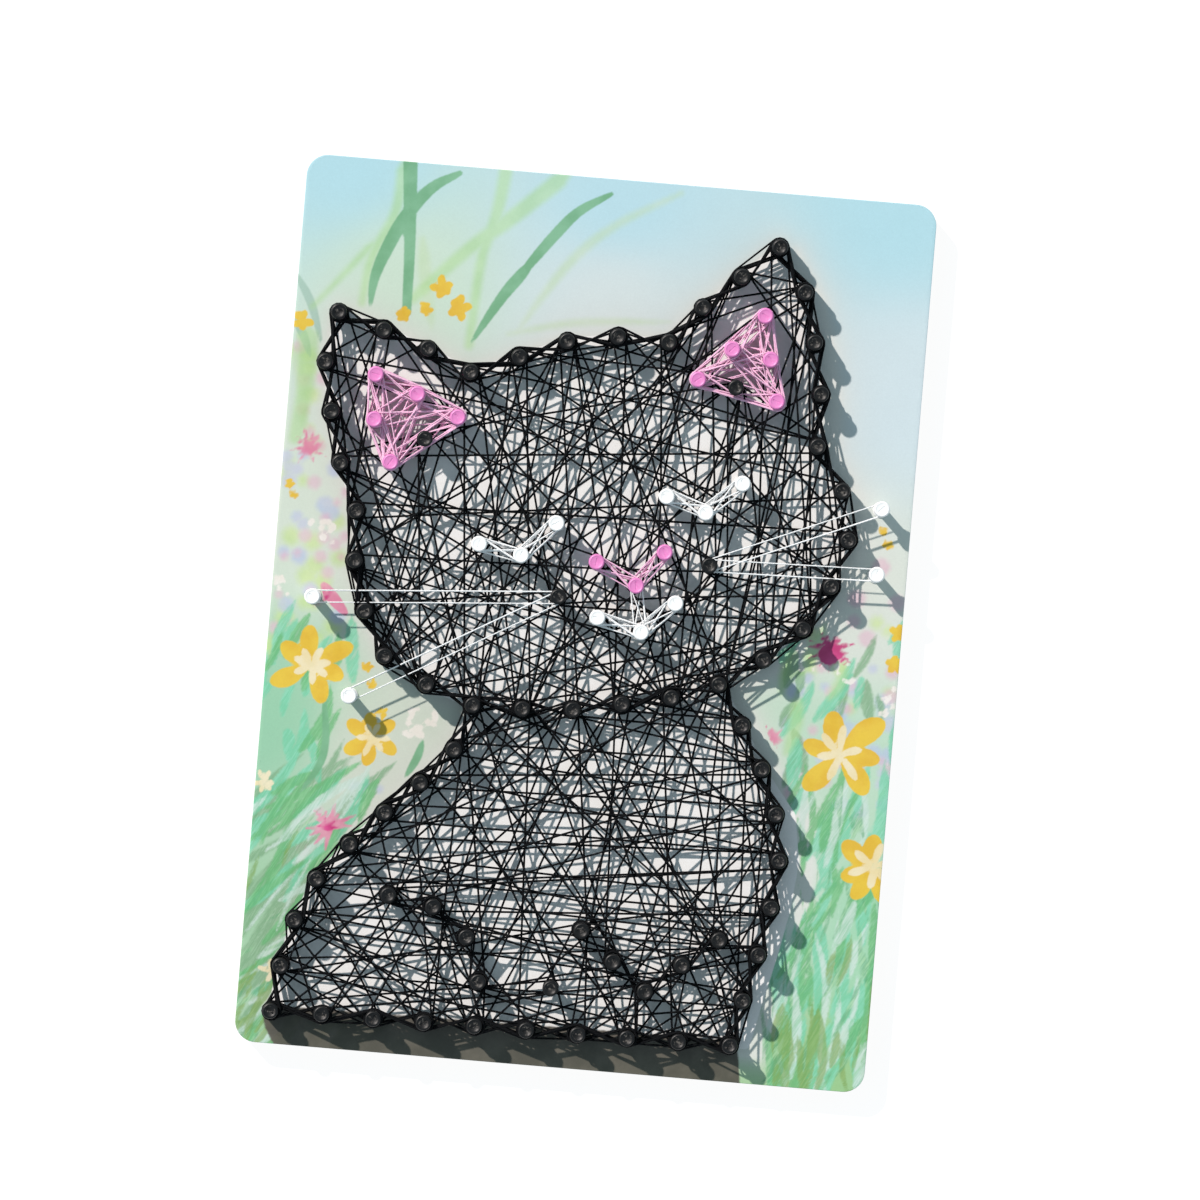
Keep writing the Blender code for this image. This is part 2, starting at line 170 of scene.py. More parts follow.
head_outline = ear_left_inner + forehead[1:] + ear_right_inner[1:] + ear_right_outer[1:]
head_outline += cheek_right[1:]
head_outline_left = ear_left_outer + cheek_left[1:]
black_pins = head_outline + head_outline_left[1:] + chin[1:-1] + back[1:] + base[1:]
black_pins += chest[1:-1] + haunch + legs
black_pins += [left_cheek_pin, right_cheek_pin, left_ear_black_pin, right_ear_black_pin, paw_pin]
pink_pins = left_ear + right_ear + nose
white_pins = left_eye + right_eye + mouth + left_whiskers + right_whiskers
all_pins = black_pins + pink_pins + white_pins


# ---- Nodes ----------------------------------------------------------------------------


class Wire:
    """One output socket of a node. Arithmetic on it adds Math nodes."""

    def __init__(self, socket):
        self.socket = socket

    def maths(self, operation, *values, clamp=False):
        settings = {"operation": operation, "use_clamp": clamp}
        return add_node(self.socket.id_data, "ShaderNodeMath", settings, dict(enumerate(values)))

    def __add__(self, other):
        return self.maths("ADD", self, other)

    def __radd__(self, other):
        return self.maths("ADD", other, self)

    def __sub__(self, other):
        return self.maths("SUBTRACT", self, other)

    def __rsub__(self, other):
        return self.maths("SUBTRACT", other, self)

    def __mul__(self, other):
        return self.maths("MULTIPLY", self, other)

    def __rmul__(self, other):
        return self.maths("MULTIPLY", other, self)

    def __truediv__(self, other):
        return self.maths("DIVIDE", self, other)

    def clamped(self):
        return self.maths("ADD", self, 0.0, clamp=True)

    def sine(self):
        return self.maths("SINE", self)

    def size(self):
        return self.maths("ABSOLUTE", self)


def add_node(tree, kind, settings=None, inputs=None, output=0):
    """Any node: its settings are set first, then its sockets get their values or links."""
    node = tree.nodes.new(kind)
    for name, value in (settings or {}).items():
        if name == "stops":
            ramp = node.color_ramp.elements
            while len(ramp) < len(value):
                ramp.new(1)
            for stop, (place, colour) in zip(ramp, value):
                stop.position = place
                stop.color = colour
        elif name == "captured":
            for item_type, item_name in value:
                node.capture_items.new(item_type, item_name)
        else:
            setattr(node, name, value)
    for key, value in (inputs or {}).items():
        if isinstance(value, Wire):
            tree.links.new(value.socket, node.inputs[key])
        else:
            node.inputs[key].default_value = value
    return Wire(node.outputs[output])


def linear(red, green, blue):
    """A colour written as 0 to 255 on a screen, as the light that it stands for."""
    shares = [value / 255 for value in (red, green, blue)]
    light = [s / 12.92 if s <= 0.04045 else ((s + 0.055) / 1.055) ** 2.4 for s in shares]
    return (*light, 1.0)


class Finish:
    """A material being made: a Principled shader, and the nodes that lead to it."""

    def __init__(self, name, **constants):
        self.material = bpy.data.materials.new(name)
        self.material.use_nodes = True
        self.tree = self.material.node_tree
        self.shader = self.tree.nodes["Principled BSDF"]
        for socket, value in constants.items():
            self.shader.inputs[socket.replace("_", " ")].default_value = value
        place = self.node("ShaderNodeTexCoord", output="Object")
        self.place = self.scaled(place, 1 / MM)

    def node(self, kind, settings=None, inputs=None, output=0):
        return add_node(self.tree, kind, settings, inputs, output)

    def scaled(self, vector, amount):
        settings = {"operation": "SCALE"}
        return self.node("ShaderNodeVectorMath", settings, {0: vector, "Scale": amount})

    def stretched(self, x, y, z, turn=0.0):
        """The place in millimetres, turned about the upright axis and then scaled."""
        inputs = {"Vector": self.place, "Rotation": (0, 0, math.radians(turn))}
        turned = self.node("ShaderNodeMapping", {"vector_type": "POINT"}, inputs)
        inputs = {0: turned, 1: (x, y, z)}
        return self.node("ShaderNodeVectorMath", {"operation": "MULTIPLY"}, inputs)

    def noise(self, vector, detail=2.0, roughness=0.5):
        """Smooth noise from about 0.25 to 0.75."""
        inputs = {"Vector": vector, "Scale": 1.0, "Detail": detail, "Roughness": roughness}
        return self.node("ShaderNodeTexNoise", {"noise_dimensions": "3D"}, inputs)

    def attribute(self, name, output="Fac"):
        return self.node("ShaderNodeAttribute", {"attribute_name": name}, output=output)

    def between(self, share, low, high):
        """The colour that is share of the way from low to high."""
        settings = {"data_type": "RGBA"}
        return self.node("ShaderNodeMix", settings, {0: share, 6: low, 7: high}, output=2)

    def spread(self, value, low, high):
        """A value's place between low and high, as 0 to 1, softly at both ends."""
        settings = {"interpolation_type": "SMOOTHSTEP"}
        inputs = {"Value": value, "From Min": low, "From Max": high}
        return self.node("ShaderNodeMapRange", settings, inputs)

    def bump(self, height, strength, depth):
        """A surface raised by height, which runs from 0 to 1, by up to depth millimetres."""
        inputs = {"Height": height, "Strength": strength, "Distance": depth * MM}
        return self.node("ShaderNodeBump", None, inputs)

    def done(self, **links):
        for socket, wire in links.items():
            self.tree.links.new(wire.socket, self.shader.inputs[socket.replace("_", " ")])
        return self.material


class Recipe:
    """A Geometry Nodes tree being made. Its first input and its output are geometry."""

    def __init__(self, name, inputs):
        self.tree = bpy.data.node_groups.new(name, "GeometryNodeTree")
        interface = self.tree.interface
        interface.new_socket("Geometry", in_out="INPUT", socket_type="NodeSocketGeometry")
        for label, kind in inputs.items():
            interface.new_socket(label, in_out="INPUT", socket_type="NodeSocket" + kind)
        interface.new_socket("Geometry", in_out="OUTPUT", socket_type="NodeSocketGeometry")
        self.entry = self.tree.nodes.new("NodeGroupInput")

    def given(self, label):
        return Wire(self.entry.outputs[label])

    def node(self, kind, settings=None, inputs=None, output=0):
        return add_node(self.tree, kind, settings, inputs, output)

    def done(self, geometry, material):
        whole = self.node("GeometryNodeRealizeInstances", None, {0: geometry})
        inputs = {"Geometry": whole, "Material": material}
        finished = self.node("GeometryNodeSetMaterial", None, inputs)
        exit_node = self.tree.nodes.new("NodeGroupOutput")
        self.tree.links.new(finished.socket, exit_node.inputs[0])
        return self.tree


def add_object(name, mesh):
    thing = bpy.data.objects.new(name, mesh)
    bpy.context.scene.collection.objects.link(thing)
    return thing


def plain_mesh(thing):
    """The mesh that an object's modifiers make."""
    depsgraph = bpy.context.evaluated_depsgraph_get()
    return bpy.data.meshes.new_from_object(thing.evaluated_get(depsgraph), depsgraph=depsgraph)


def made_with(tree, name, source, values):
    """A new object with the mesh that a Geometry Nodes tree makes from a source mesh."""
    carrier = add_object(name + "_source", source)
    modifier = carrier.modifiers.new("Making", "NODES")
    modifier.node_group = tree
    for item in tree.interface.items_tree:
        if item.in_out == "INPUT" and item.name in values:
            modifier[item.identifier] = values[item.name]
    made = plain_mesh(carrier)
    bpy.data.objects.remove(carrier)
    made.name = name
    return add_object(name, made)


def settle(thing, slot, *nodes):
    """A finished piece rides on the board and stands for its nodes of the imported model."""
    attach(thing, BODY)
    if nodes:
        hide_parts(*nodes)


# ---- Plastics, threads, board ---------------------------------------------------------


def moulded_plastic(name, colour, pale, gloss, highlight_tint, highlight_strength):
    """Moulded plastic: a soft gloss with a faint bloom, and highlights painted as pale patches in
    its heads' dishes.
    """
    finish = Finish(name, IOR=gloss)
    cloud = finish.noise(finish.scaled(finish.place, 0.9), detail=3)
    grain = finish.noise(finish.scaled(finish.place, 9.0), detail=4)
    highlight_noise = finish.noise(finish.scaled(finish.place, 1.5), detail=4, roughness=0.65)
    dish = finish.spread(finish.attribute("dish"), 0.3, 0.9)
    # Highlights painted into the heads' dishes as pale patches; the roughness also rises there.
    painted_highlight = finish.spread(highlight_noise, 0.53, 0.63) * dish
    tint = finish.between(painted_highlight * highlight_strength, finish.between(cloud, colour, pale), highlight_tint)
    roughness = 0.26 + 0.2 * grain + 0.1 * cloud + 0.2 * painted_highlight
    surface = finish.bump(grain * 0.5 + cloud * 0.5, 0.35, 0.05)
    return finish.done(Base_Color=tint, Roughness=roughness, Normal=surface)


def twisted_thread(name, colour, pale, thickness, gloss=1.45):
    """Thread of three strands twisted together, with fine fibres along each strand and painted
    shade in the grooves between strands.
    """
    finish = Finish(name, IOR=gloss)
    lay = finish.attribute("lay", "Vector")
    around = finish.node("ShaderNodeSeparateXYZ", None, {0: lay}, output="X")
    along = finish.node("ShaderNodeSeparateXYZ", None, {0: lay}, output="Y")
    pitch = thickness * 3.2 * MM
    turns = 3 * around + along / pitch
    strand = (turns * math.pi).sine().size()
    fibres = finish.noise(finish.scaled(finish.place, 14.0), detail=4, roughness=0.7)
    # The grooves between the strands are painted darker as shade and the crests paler as highlight;
    # the fibres add a random tone.
    groove_shade_and_fibres = (strand * 0.7 + fibres * 0.5).clamped()
    tint = finish.between(groove_shade_and_fibres, colour, pale)
    roughness = 0.95 - 0.3 * strand
    surface = finish.bump(strand * 0.8 + fibres * 0.4, 0.8, thickness * 0.16)
    return finish.done(Base_Color=tint, Roughness=roughness, Normal=surface)


def pressed_fibre():
    """The core's sawn edge: fine brown fibres, denser and darker towards both faces."""
    finish = Finish("pressed_fibre", IOR=1.4)
    fibres = finish.noise(finish.stretched(1.4, 1.4, 9.0), detail=6, roughness=0.7)
    specks = finish.noise(finish.stretched(5.0, 5.0, 12.0), detail=3, roughness=0.6)
    height = finish.node("ShaderNodeSeparateXYZ", None, {0: finish.place}, output="Z")
    middle = (core_low.z + core_high.z) / 2
    skin = finish.spread((height - middle).size(), 1.6, (core_high.z - core_low.z) / 2)
    light = finish.between(fibres, linear(150, 118, 82), linear(205, 176, 136))
    tint = finish.between(skin * 0.55, light, linear(116, 86, 58))
    speckled = finish.between(finish.spread(specks, 0.56, 0.7), tint, linear(96, 70, 46))
    surface = finish.bump(fibres * 0.6 + specks * 0.4, 0.8, 0.12)
    return finish.done(Base_Color=speckled, Roughness=0.8 + 0.2 * specks, Normal=surface)


def grey_card():
    """The backing: plain recycled card with flecks."""
    finish = Finish("grey_card", IOR=1.45)
    flecks = finish.noise(finish.stretched(1.6, 4.2, 3.0, 18), detail=5, roughness=0.75)
    cloud = finish.noise(finish.scaled(finish.place, 0.12), detail=2)
    tint = finish.between(cloud, linear(196, 190, 178), linear(212, 206, 194))
    flecked = finish.between(finish.spread(flecks, 0.58, 0.72), tint, linear(150, 142, 130))
    surface = finish.bump(flecks, 0.5, 0.05)
    return finish.done(Base_Color=flecked, Roughness=0.85 + 0.1 * flecks, Normal=surface)


def pale_table():
    """A plain light table that glows a little, so that the board's shadow on it is faint."""
    white = (1.0, 1.0, 1.0, 1.0)
    finish = Finish("pale_table", IOR=1.2, Emission_Color=white, Emission_Strength=0.9)
    cloud = finish.noise(finish.scaled(finish.place, 0.02), detail=2)
    tint = finish.between(cloud, linear(124, 124, 124), linear(128, 128, 128))
    return finish.done(Base_Color=tint, Roughness=0.85 + 0.1 * cloud)


# ---- The printed sheet ----------------------------------------------------------------

SHEET_COLUMNS = 210
SHEET_ROWS = 286
CORNER_ROWS = 13
EDGE_ROUND = 0.14
FAR_OUTSIDE = -4.0

# The wash behind everything: the middles of its broad areas, and their paint.
WASHES = [
    (-65, 105, (180, 220, 230)),
    (0, 100, (185, 220, 230)),
    (65, 105, (180, 220, 230)),
    (70, 60, (210, 225, 230)),
    (0, 75, (215, 225, 225)),
    (-50, 75, (205, 225, 205)),
    (-65, 20, (215, 225, 210)),
    (65, 10, (220, 225, 215)),
    (-70, -30, (150, 205, 170)),
    (-50, -35, (210, 215, 200)),
    (60, -30, (190, 220, 195)),
    (-70, -80, (160, 205, 165)),
    (65, -70, (165, 215, 180)),
    (60, -100, (155, 200, 140)),
]
WASH_REACH = 16.0
WASH_SOFTNESS = 0.15
WASH_FALL = 3.2
HALO_COLOUR = (229, 230, 224)
GLOW_SHIFT = Vector((3.6, -1.6))
# How far the printed cat reaches past its pins, and how much further beside the chest.
CAT_MARGIN = 0.9
CHEST_MARGIN = 4.0
HALO_REACH = 3.3
HALO_STRENGTH = 0.92


class Drawing:
    """Drawn shapes as depths at the sheet's points: millimetres inside a shape's edge."""

    def __init__(self, places):
        self.places = places
        self.layers = {}

    def layer(self, name):
        if name not in self.layers:
            self.layers[name] = np.full(len(self.places), FAR_OUTSIDE)
        return self.layers[name]

    def stroke(self, name, points, width, shape, steps=6):
        """One brush stroke through points. shape gives the share of its width at 0 to 1."""
        path = [tuple(p) for p in smooth_path([Vector(p) for p in points], steps)]
        path = np.array(path)
        shares = [shape(i / (len(path) - 1)) for i in range(len(path))]
        half = np.array(shares) * width / 2
        low = path.min(0) - width / 2 + FAR_OUTSIDE
        high = path.max(0) + width / 2 - FAR_OUTSIDE
        near = np.nonzero(((self.places > low) & (self.places < high)).all(1))[0]
        depths = self.layer(name)
        best = depths[near]
        here = self.places[near]
        for a, b, half_a, half_b in zip(path, path[1:], half, half[1:]):
            along = b - a
            share = ((here - a) @ along / max(along @ along, 1e-9)).clip(0, 1)
            apart = np.linalg.norm(here - a - share[:, None] * along, axis=1)
            best = np.maximum(best, half_a + (half_b - half_a) * share - apart)
        depths[near] = best

    def area(self, name, corners, margin):
        """A closed shape with straight sides, grown by margin."""
        corners = np.array([tuple(c) for c in corners])
        apart = np.full(len(self.places), 1e9)
        inside = np.zeros(len(self.places), bool)
        x, y = self.places.T
        for a, b in zip(corners, np.roll(corners, -1, axis=0)):
            along = b - a
            share = ((self.places - a) @ along / (along @ along)).clip(0, 1)
            gap = np.linalg.norm(self.places - a - share[:, None] * along, axis=1)
            apart = np.minimum(apart, gap)
            if a[1] != b[1]:
                crosses = (a[1] > y) != (b[1] > y)
                inside ^= crosses & (x < a[0] + (y - a[1]) * along[0] / along[1])
        self.layers[name] = np.where(inside, apart, -apart) + margin


def blade(t):
    return max(math.sin(math.pi * min(t * 0.94 + 0.06, 1)), 0) ** 0.55


def stalk(t):
    return min(1, t * 12 + 0.3) * (1 - 0.38 * t)


def dab(t):
    return math.sqrt(max(1 - (2 * t - 1) ** 2, 0)) * 0.5 + 0.5


def petal(t):
    return 0.3 + 0.7 * math.sin(math.pi * t**1.3) ** 0.8


def ray(t):
    return 1 - 0.75 * t


def draw_blades(drawing):
    for points, width, shape in (
        ([(-50.5, 107), (-49.6, 95), (-48.8, 84), (-48.3, 69.5)], 3.5, stalk),
        ([(-38.5, 103.3), (-44.8, 99.3), (-50.4, 92), (-54, 84.5), (-56.5, 77), (-57, 69.5)],
         3.2, blade),
        ([(-2.5, 101.4), (-9.8, 96.6), (-14.8, 90.8), (-20.4, 83.2), (-22, 81)], 2.6, blade),
        ([(-20, 83.6), (-22, 80.8), (-26, 75.2), (-32.9, 63)], 2.8, blade),
        ([(-60, -22), (-59, -36), (-64, -46)], 1.8, blade),
        ([(-36, -31), (-37, -35), (-39.5, -40)], 2.0, blade),
    ):
        drawing.stroke("dark_blades", points, width, shape)
    for points, width in (
        ([(-27.5, 107), (-29.1, 94), (-31.6, 84.5), (-33, 63)], 3.2),
        ([(-12.5, 106), (-26, 93.3), (-34.8, 85.8), (-47, 73)], 4.0),
        ([(-57.3, 85.5), (-63.5, 77.6), (-70.5, 69)], 1.7),
        ([(-71, 64), (-70.5, 52), (-72, 38)], 5.0),
        ([(-52, 105), (-52.8, 93), (-57.5, 82), (-59, 71)], 2.8),
    ):
        drawing.stroke("light_blades", points, width, stalk)
    for points, width in (
        ([(14, 103), (-1, 94), (-9.8, 85.8), (-16, 77), (-22, 67)], 2.2),
        ([(-46, 87), (-44.5, 78), (-42, 66)], 3.2),
        ([(-75, 60), (-71, 50), (-70, 40)], 3.0),
        ([(-24, 66.5), (-8, 70.5), (14, 72.5)], 1.6),
    ):
        drawing.stroke("faint_blades", points, width, blade)
    for points in ([(-75.5, 77), (-71, 70), (-67.5, 60)], [(-76, 68), (-72, 62), (-70, 57)]):
        drawing.stroke("slate_blades", points, 2.0, blade)


def brush(drawing, name, count, seed, area, leans, lengths, widths):
    """Random strokes with a fixed seed, each at a lean in degrees from upright."""
    pick = random.Random(seed)
    (left, low), (right, high) = area
    for _ in range(count):
        x = pick.uniform(left, right)
        y = pick.uniform(low, high)
        lean = math.radians(pick.uniform(*leans))
        length = pick.uniform(*lengths)
        along = Vector((math.sin(lean), math.cos(lean))) * length / 2
        aside = along.orthogonal() * pick.uniform(-0.16, 0.16)
        middle = Vector((x, y))
        points = [middle - along, middle + aside, middle + along]
        drawing.stroke(name, points, pick.uniform(*widths), blade, steps=4)


def draw_meadow(drawing):
    left_low = ((-75, -106), (-46, -42))
    left_high = ((-75, -40), (-54, -6))
    right_low = ((49.5, -106), (76, -36))
    right_high = ((46, -40), (76, 8))
    ground_left = ((-75, -106), (-64, -84))
    for stroke in (
        ("sage_strokes", 46, 1, left_low, (22, 58), (14, 30), (1.6, 4.2)),
        ("mint_strokes", 16, 17, left_low, (22, 58), (12, 26), (1.4, 3.4)),
        ("green_strokes", 30, 2, left_low, (18, 62), (10, 26), (1.2, 3.0)),
        ("pale_strokes", 26, 3, left_low, (20, 60), (10, 26), (0.8, 2.2)),
        ("olive_strokes", 12, 4, left_low, (5, 50), (6, 14), (0.8, 2.0)),
        ("olive_strokes", 8, 14, ground_left, (10, 50), (5, 12), (0.8, 1.8)),
        ("fine_strokes", 46, 15, left_low, (10, 60), (6, 16), (0.5, 1.0)),
        ("fine_strokes", 44, 16, right_low, (-16, 30), (6, 18), (0.5, 1.1)),
        ("mint_strokes", 10, 5, left_high, (-20, 30), (8, 16), (2, 4)),
        ("green_strokes", 7, 6, left_high, (-20, 30), (8, 16), (1.5, 3)),
        ("mint_strokes", 30, 7, right_low, (-12, 24), (14, 34), (1.8, 4.2)),
        ("green_strokes", 34, 8, right_low, (-14, 30), (10, 28), (1.2, 3.0)),
        ("pale_strokes", 22, 9, right_low, (-14, 26), (10, 26), (0.9, 2.6)),
        ("olive_strokes", 12, 10, right_low, (-14, 22), (6, 16), (0.8, 2)),
        ("mint_strokes", 10, 11, right_high, (0, 40), (8, 18), (2, 4)),
        ("light_blades", 5, 12, right_high, (0, 30), (8, 16), (2, 3.5)),
        ("olive_strokes", 12, 13, ((52, -104), (64, -90)), (-16, 8), (8, 16), (1.6, 3)),
        ("sage_strokes", 10, 18, right_high, (-20, 30), (6, 12), (1.6, 3.4)),
    ):
        brush(drawing, *stroke)


def flower(drawing, x, y, petals, name="yellow_petals", start=1.2):
    """Petals round a middle, each with its angle in degrees, its length and its width."""
    for angle, reach, width in petals:
        out = Vector((math.cos(math.radians(angle)), math.sin(math.radians(angle))))
        bow = out.orthogonal() * width * 0.08
        middle = Vector((x, y))
        points = [middle + out * start, middle + out * reach * 0.6 + bow, middle + out * reach]
        drawing.stroke(name, points, width, petal, steps=5)


def star(drawing, x, y, petals, length, width, turn, name="cream_petals"):
    """A small flower of even petals, each a little off its angle and length."""
    pick = random.Random(round(x * 7 + y * 13))
    flower(drawing, x, y, [
        (turn + 360 * i / petals + pick.uniform(-12, 12), length * pick.uniform(0.75, 1.15), width)
        for i in range(petals)
    ], name, 0)


def rays(drawing, name, x, y, count, length, width, first=0.0, last=360.0):
    """A burst of thin pointed rays from one point."""
    pick = random.Random(round(x * 5 + y * 11))
    for i in range(count):
        angle = math.radians(first + (last - first) * i / count + pick.uniform(-8, 8))
        reach = length * pick.uniform(0.6, 1.1)
        out = Vector((math.cos(angle), math.sin(angle)))
        middle = Vector((x, y))
        drawing.stroke(name, [middle, middle + out * reach], width, ray, steps=3)


def spots(drawing, name, places, width):
    for x, y in places:
        drawing.stroke(name, [(x - width * 0.2, y), (x + width * 0.2, y)], width, dab, steps=3)


def scatter(drawing, name, count, seed, area, widths):
    pick = random.Random(seed)
    (left, low), (right, high) = area
    for _ in range(count):
        place = (pick.uniform(left, right), pick.uniform(low, high))
        spots(drawing, name, [place], pick.uniform(*widths))


def draw_flowers(drawing):
    flower(drawing, 62.3, -25.8, [
        (104, 9.6, 5.2), (42, 12.4, 5.8), (-4, 9.0, 4.2), (-52, 10.6, 5.2), (-132, 11, 5.4),
        (166, 8.4, 4.2)])
    flower(drawing, 72.4, -51.3, [
        (146, 8.4, 4.8), (92, 6.6, 4.4), (-156, 7.4, 4.2), (-118, 8.6, 4.2), (-70, 8.4, 4.4)])
    flower(drawing, -63.6, -15.2, [
        (97, 8.8, 4.4), (30, 10.2, 4.6), (-18, 7.4, 4.2), (-70, 8.8, 4.4), (-152, 10, 4.6),
        (148, 8, 4.6)])
    flower(drawing, -48, -31, [
        (150, 6.4, 3.6), (212, 6.8, 3.8), (262, 6.4, 3.4), (98, 5.4, 3.2), (38, 6, 3.4),
        (-30, 6.4, 3.4)])
    star(drawing, 62.3, -25.8, 6, 6.2, 2.0, 15)
    star(drawing, 72.4, -51.3, 6, 5.6, 2.0, 20)
    star(drawing, -63.6, -15.2, 7, 4.8, 1.8, 10)
    star(drawing, -48, -31, 6, 4.2, 1.5, 5)
    star(drawing, -72.3, -43.6, 6, 2.8, 1.2, 0)
    star(drawing, -67, -88, 5, 3.0, 1.2, 30)
    for x, y, size in (
        (-40.4, 76, 2.5), (-36, 71.6, 2.7), (-43.8, 70.8, 1.7), (-49, 69, 2.0), (-72.6, 65.5, 2.4),
        (-72.5, 27, 1.3), (-71.2, 24.5, 1.2), (69.5, 24.5, 1.3), (68, 27.5, 1.2), (73.4, -3.5, 2.2),
        (73.8, 4, 2.2), (-50.5, -14.5, 1.4), (-49, -18.5, 1.3), (-46, -25, 1.3),
    ):
        star(drawing, x, y, 5, size, size * 0.75, x * 10, "yellow_petals")
    rays(drawing, "pink_petals", -68.5, 36, 18, 4.4, 0.9)
    rays(drawing, "pink_petals", -56, -52.8, 11, 6.0, 1.7, 0, 290)
    rays(drawing, "pink_petals", 46, -23.5, 8, 3.6, 0.9, -50, 150)
    drawing.stroke("pink_petals", [(-62.5, 4), (-60, 1), (-56, -3)], 3.0, blade)
    rays(drawing, "magenta_petals", 58.5, -1.5, 20, 5.4, 1.1)
    spots(drawing, "magenta_petals", [(57.8, -2.4)], 5.0)
    rays(drawing, "magenta_petals", -56.5, -53.5, 6, 2.8, 1.0, 20, 200)
    rays(drawing, "magenta_petals", -62, 0, 3, 4.2, 0.6, 50, 110)
    for dabs in (
        ("blossoms", 22, 21, ((-40.5, -30), (-33.5, -23.5)), (0.8, 1.8)),
        ("blossoms", 12, 22, ((-68, 13), (-61, 19)), (0.8, 2.0)),
        ("blossoms", 10, 23, ((71, -16), (74, -9)), (0.7, 1.6)),
        ("blossoms", 12, 24, ((50, -9), (64, -4)), (0.7, 1.6)),
        ("blossoms", 7, 25, ((-74, 0), (-70, 5)), (0.8, 1.6)),
        ("lime_dabs", 16, 33, ((-76, -14), (-58, 30)), (2.0, 4.6)),
        ("lime_dabs", 12, 34, ((46, -24), (74, 8)), (1.6, 4.0)),
        ("lime_dabs", 12, 35, ((-76, 26), (-66, 64)), (2.0, 4.0)),
        ("lavender_dabs", 28, 26, ((48, -40), (74, -4)), (2.0, 4.5)),
        ("lavender_dabs", 16, 27, ((-74, -4), (-58, 34)), (2.0, 4.2)),
        ("lavender_dabs", 4, 28, ((-52, -44), (-44, -37)), (1.5, 3.0)),
        ("rose_dabs", 24, 29, ((48, -42), (74, 0)), (1.6, 3.6)),
        ("rose_dabs", 18, 30, ((-74, -8), (-58, 28)), (1.4, 3.2)),
        ("rose_dabs", 5, 31, ((-62, -60), (-50, -46)), (2.0, 4.5)),
        ("rose_dabs", 5, 32, ((62, 2), (74, 20)), (2.4, 4.5)),
        ("rose_dabs", 8, 36, ((-76, 24), (-66, 60)), (1.6, 3.2)),
    ):
        scatter(drawing, *dabs)


def wash_colours(places, glow_depth):
    """The soft paint behind the drawn shapes, pale towards the cat."""
    total = np.zeros((len(places), 3))
    weights = np.zeros(len(places))
    for x, y, colour in WASHES:
        far = np.hypot(places[:, 0] - x, places[:, 1] - y) / WASH_REACH
        weight = 1 / (WASH_SOFTNESS + far**WASH_FALL)
        total += weight[:, None] * np.array(linear(*colour)[:3])
        weights += weight
    wash = total / weights[:, None]
    halo = np.exp(np.minimum(glow_depth, 0) / HALO_REACH)[:, None] * HALO_STRENGTH
    return wash * (1 - halo) + np.array(linear(*HALO_COLOUR)[:3]) * halo


def sheet_lattice(grow):
    """The sheet's rows and columns of places, with its rounded outline grown by grow."""
    half_wide = BOARD_WIDTH / 2 - EDGE_ROUND + grow
    corner = CORNER_RADIUS - EDGE_ROUND + grow
    straight = BOARD_HEIGHT / 2 - CORNER_RADIUS
    turn = np.linspace(0, math.pi / 2, CORNER_ROWS)
    low = -straight - corner * np.cos(turn)
    drawn_in = corner - corner * np.sin(turn)
    middle = np.linspace(-straight, straight, SHEET_ROWS)[1:-1]
    rows = np.concatenate([low, middle, -low[::-1]])
    drawn_in = np.concatenate([drawn_in, np.zeros(len(middle)), drawn_in[::-1]])
    columns = np.linspace(-1, 1, SHEET_COLUMNS)
    across = columns[None, :] * (half_wide - drawn_in)[:, None]
    return across, np.repeat(rows[:, None], SHEET_COLUMNS, 1)


def sheet_rim(rows, columns):
    """The lattice's border points, anticlockwise, as row and column numbers."""
    rim = [(0, c) for c in range(columns - 1)]
    rim += [(r, columns - 1) for r in range(rows - 1)]
    rim += [(rows - 1, c) for c in range(columns - 1, 0, -1)]
    rim += [(r, 0) for r in range(rows - 1, 0, -1)]
    return np.array(rim)


def sheet_mesh():
    """The picture sheet: a close lattice on top, a rounded edge and a flat underside."""
    across, up = sheet_lattice(0)
    rows, columns = across.shape
    points = [np.stack([across, up, np.full(across.shape, FACE)], -1).reshape(-1, 3)]
    number = np.arange(rows * columns).reshape(rows, columns)
    corners = (number[:-1, :-1], number[:-1, 1:], number[1:, 1:], number[1:, :-1])
    faces = np.stack(corners, -1).reshape(-1, 4).tolist()
    rim = sheet_rim(rows, columns)
    ring = number[rim[:, 0], rim[:, 1]]
    total = rows * columns
    edge = [(math.sin(a) * EDGE_ROUND, FACE - (1 - math.cos(a)) * EDGE_ROUND)
            for a in (math.pi / 6, math.pi / 3, math.pi / 2)]
    for grow, height in edge + [(EDGE_ROUND, core_high.z)]:
        across, up = sheet_lattice(grow)
        rim_x = across[rim[:, 0], rim[:, 1]]
        rim_y = up[rim[:, 0], rim[:, 1]]
        points.append(np.stack([rim_x, rim_y, np.full(len(rim), height)], -1))
        lower = total + np.arange(len(rim))
        walls = np.stack([lower, np.roll(lower, -1), np.roll(ring, -1), ring], -1)
        faces += walls.tolist()
        ring = lower
        total += len(rim)
    faces.append(ring[::-1].tolist())
    points = np.concatenate(points)
    mesh = bpy.data.meshes.new("printed_sheet")
    mesh.from_pydata((points * MM).tolist(), [], faces)
    mesh.shade_smooth()
    mesh.set_sharp_from_angle(angle=math.radians(40))
    return mesh, points[:, :2]


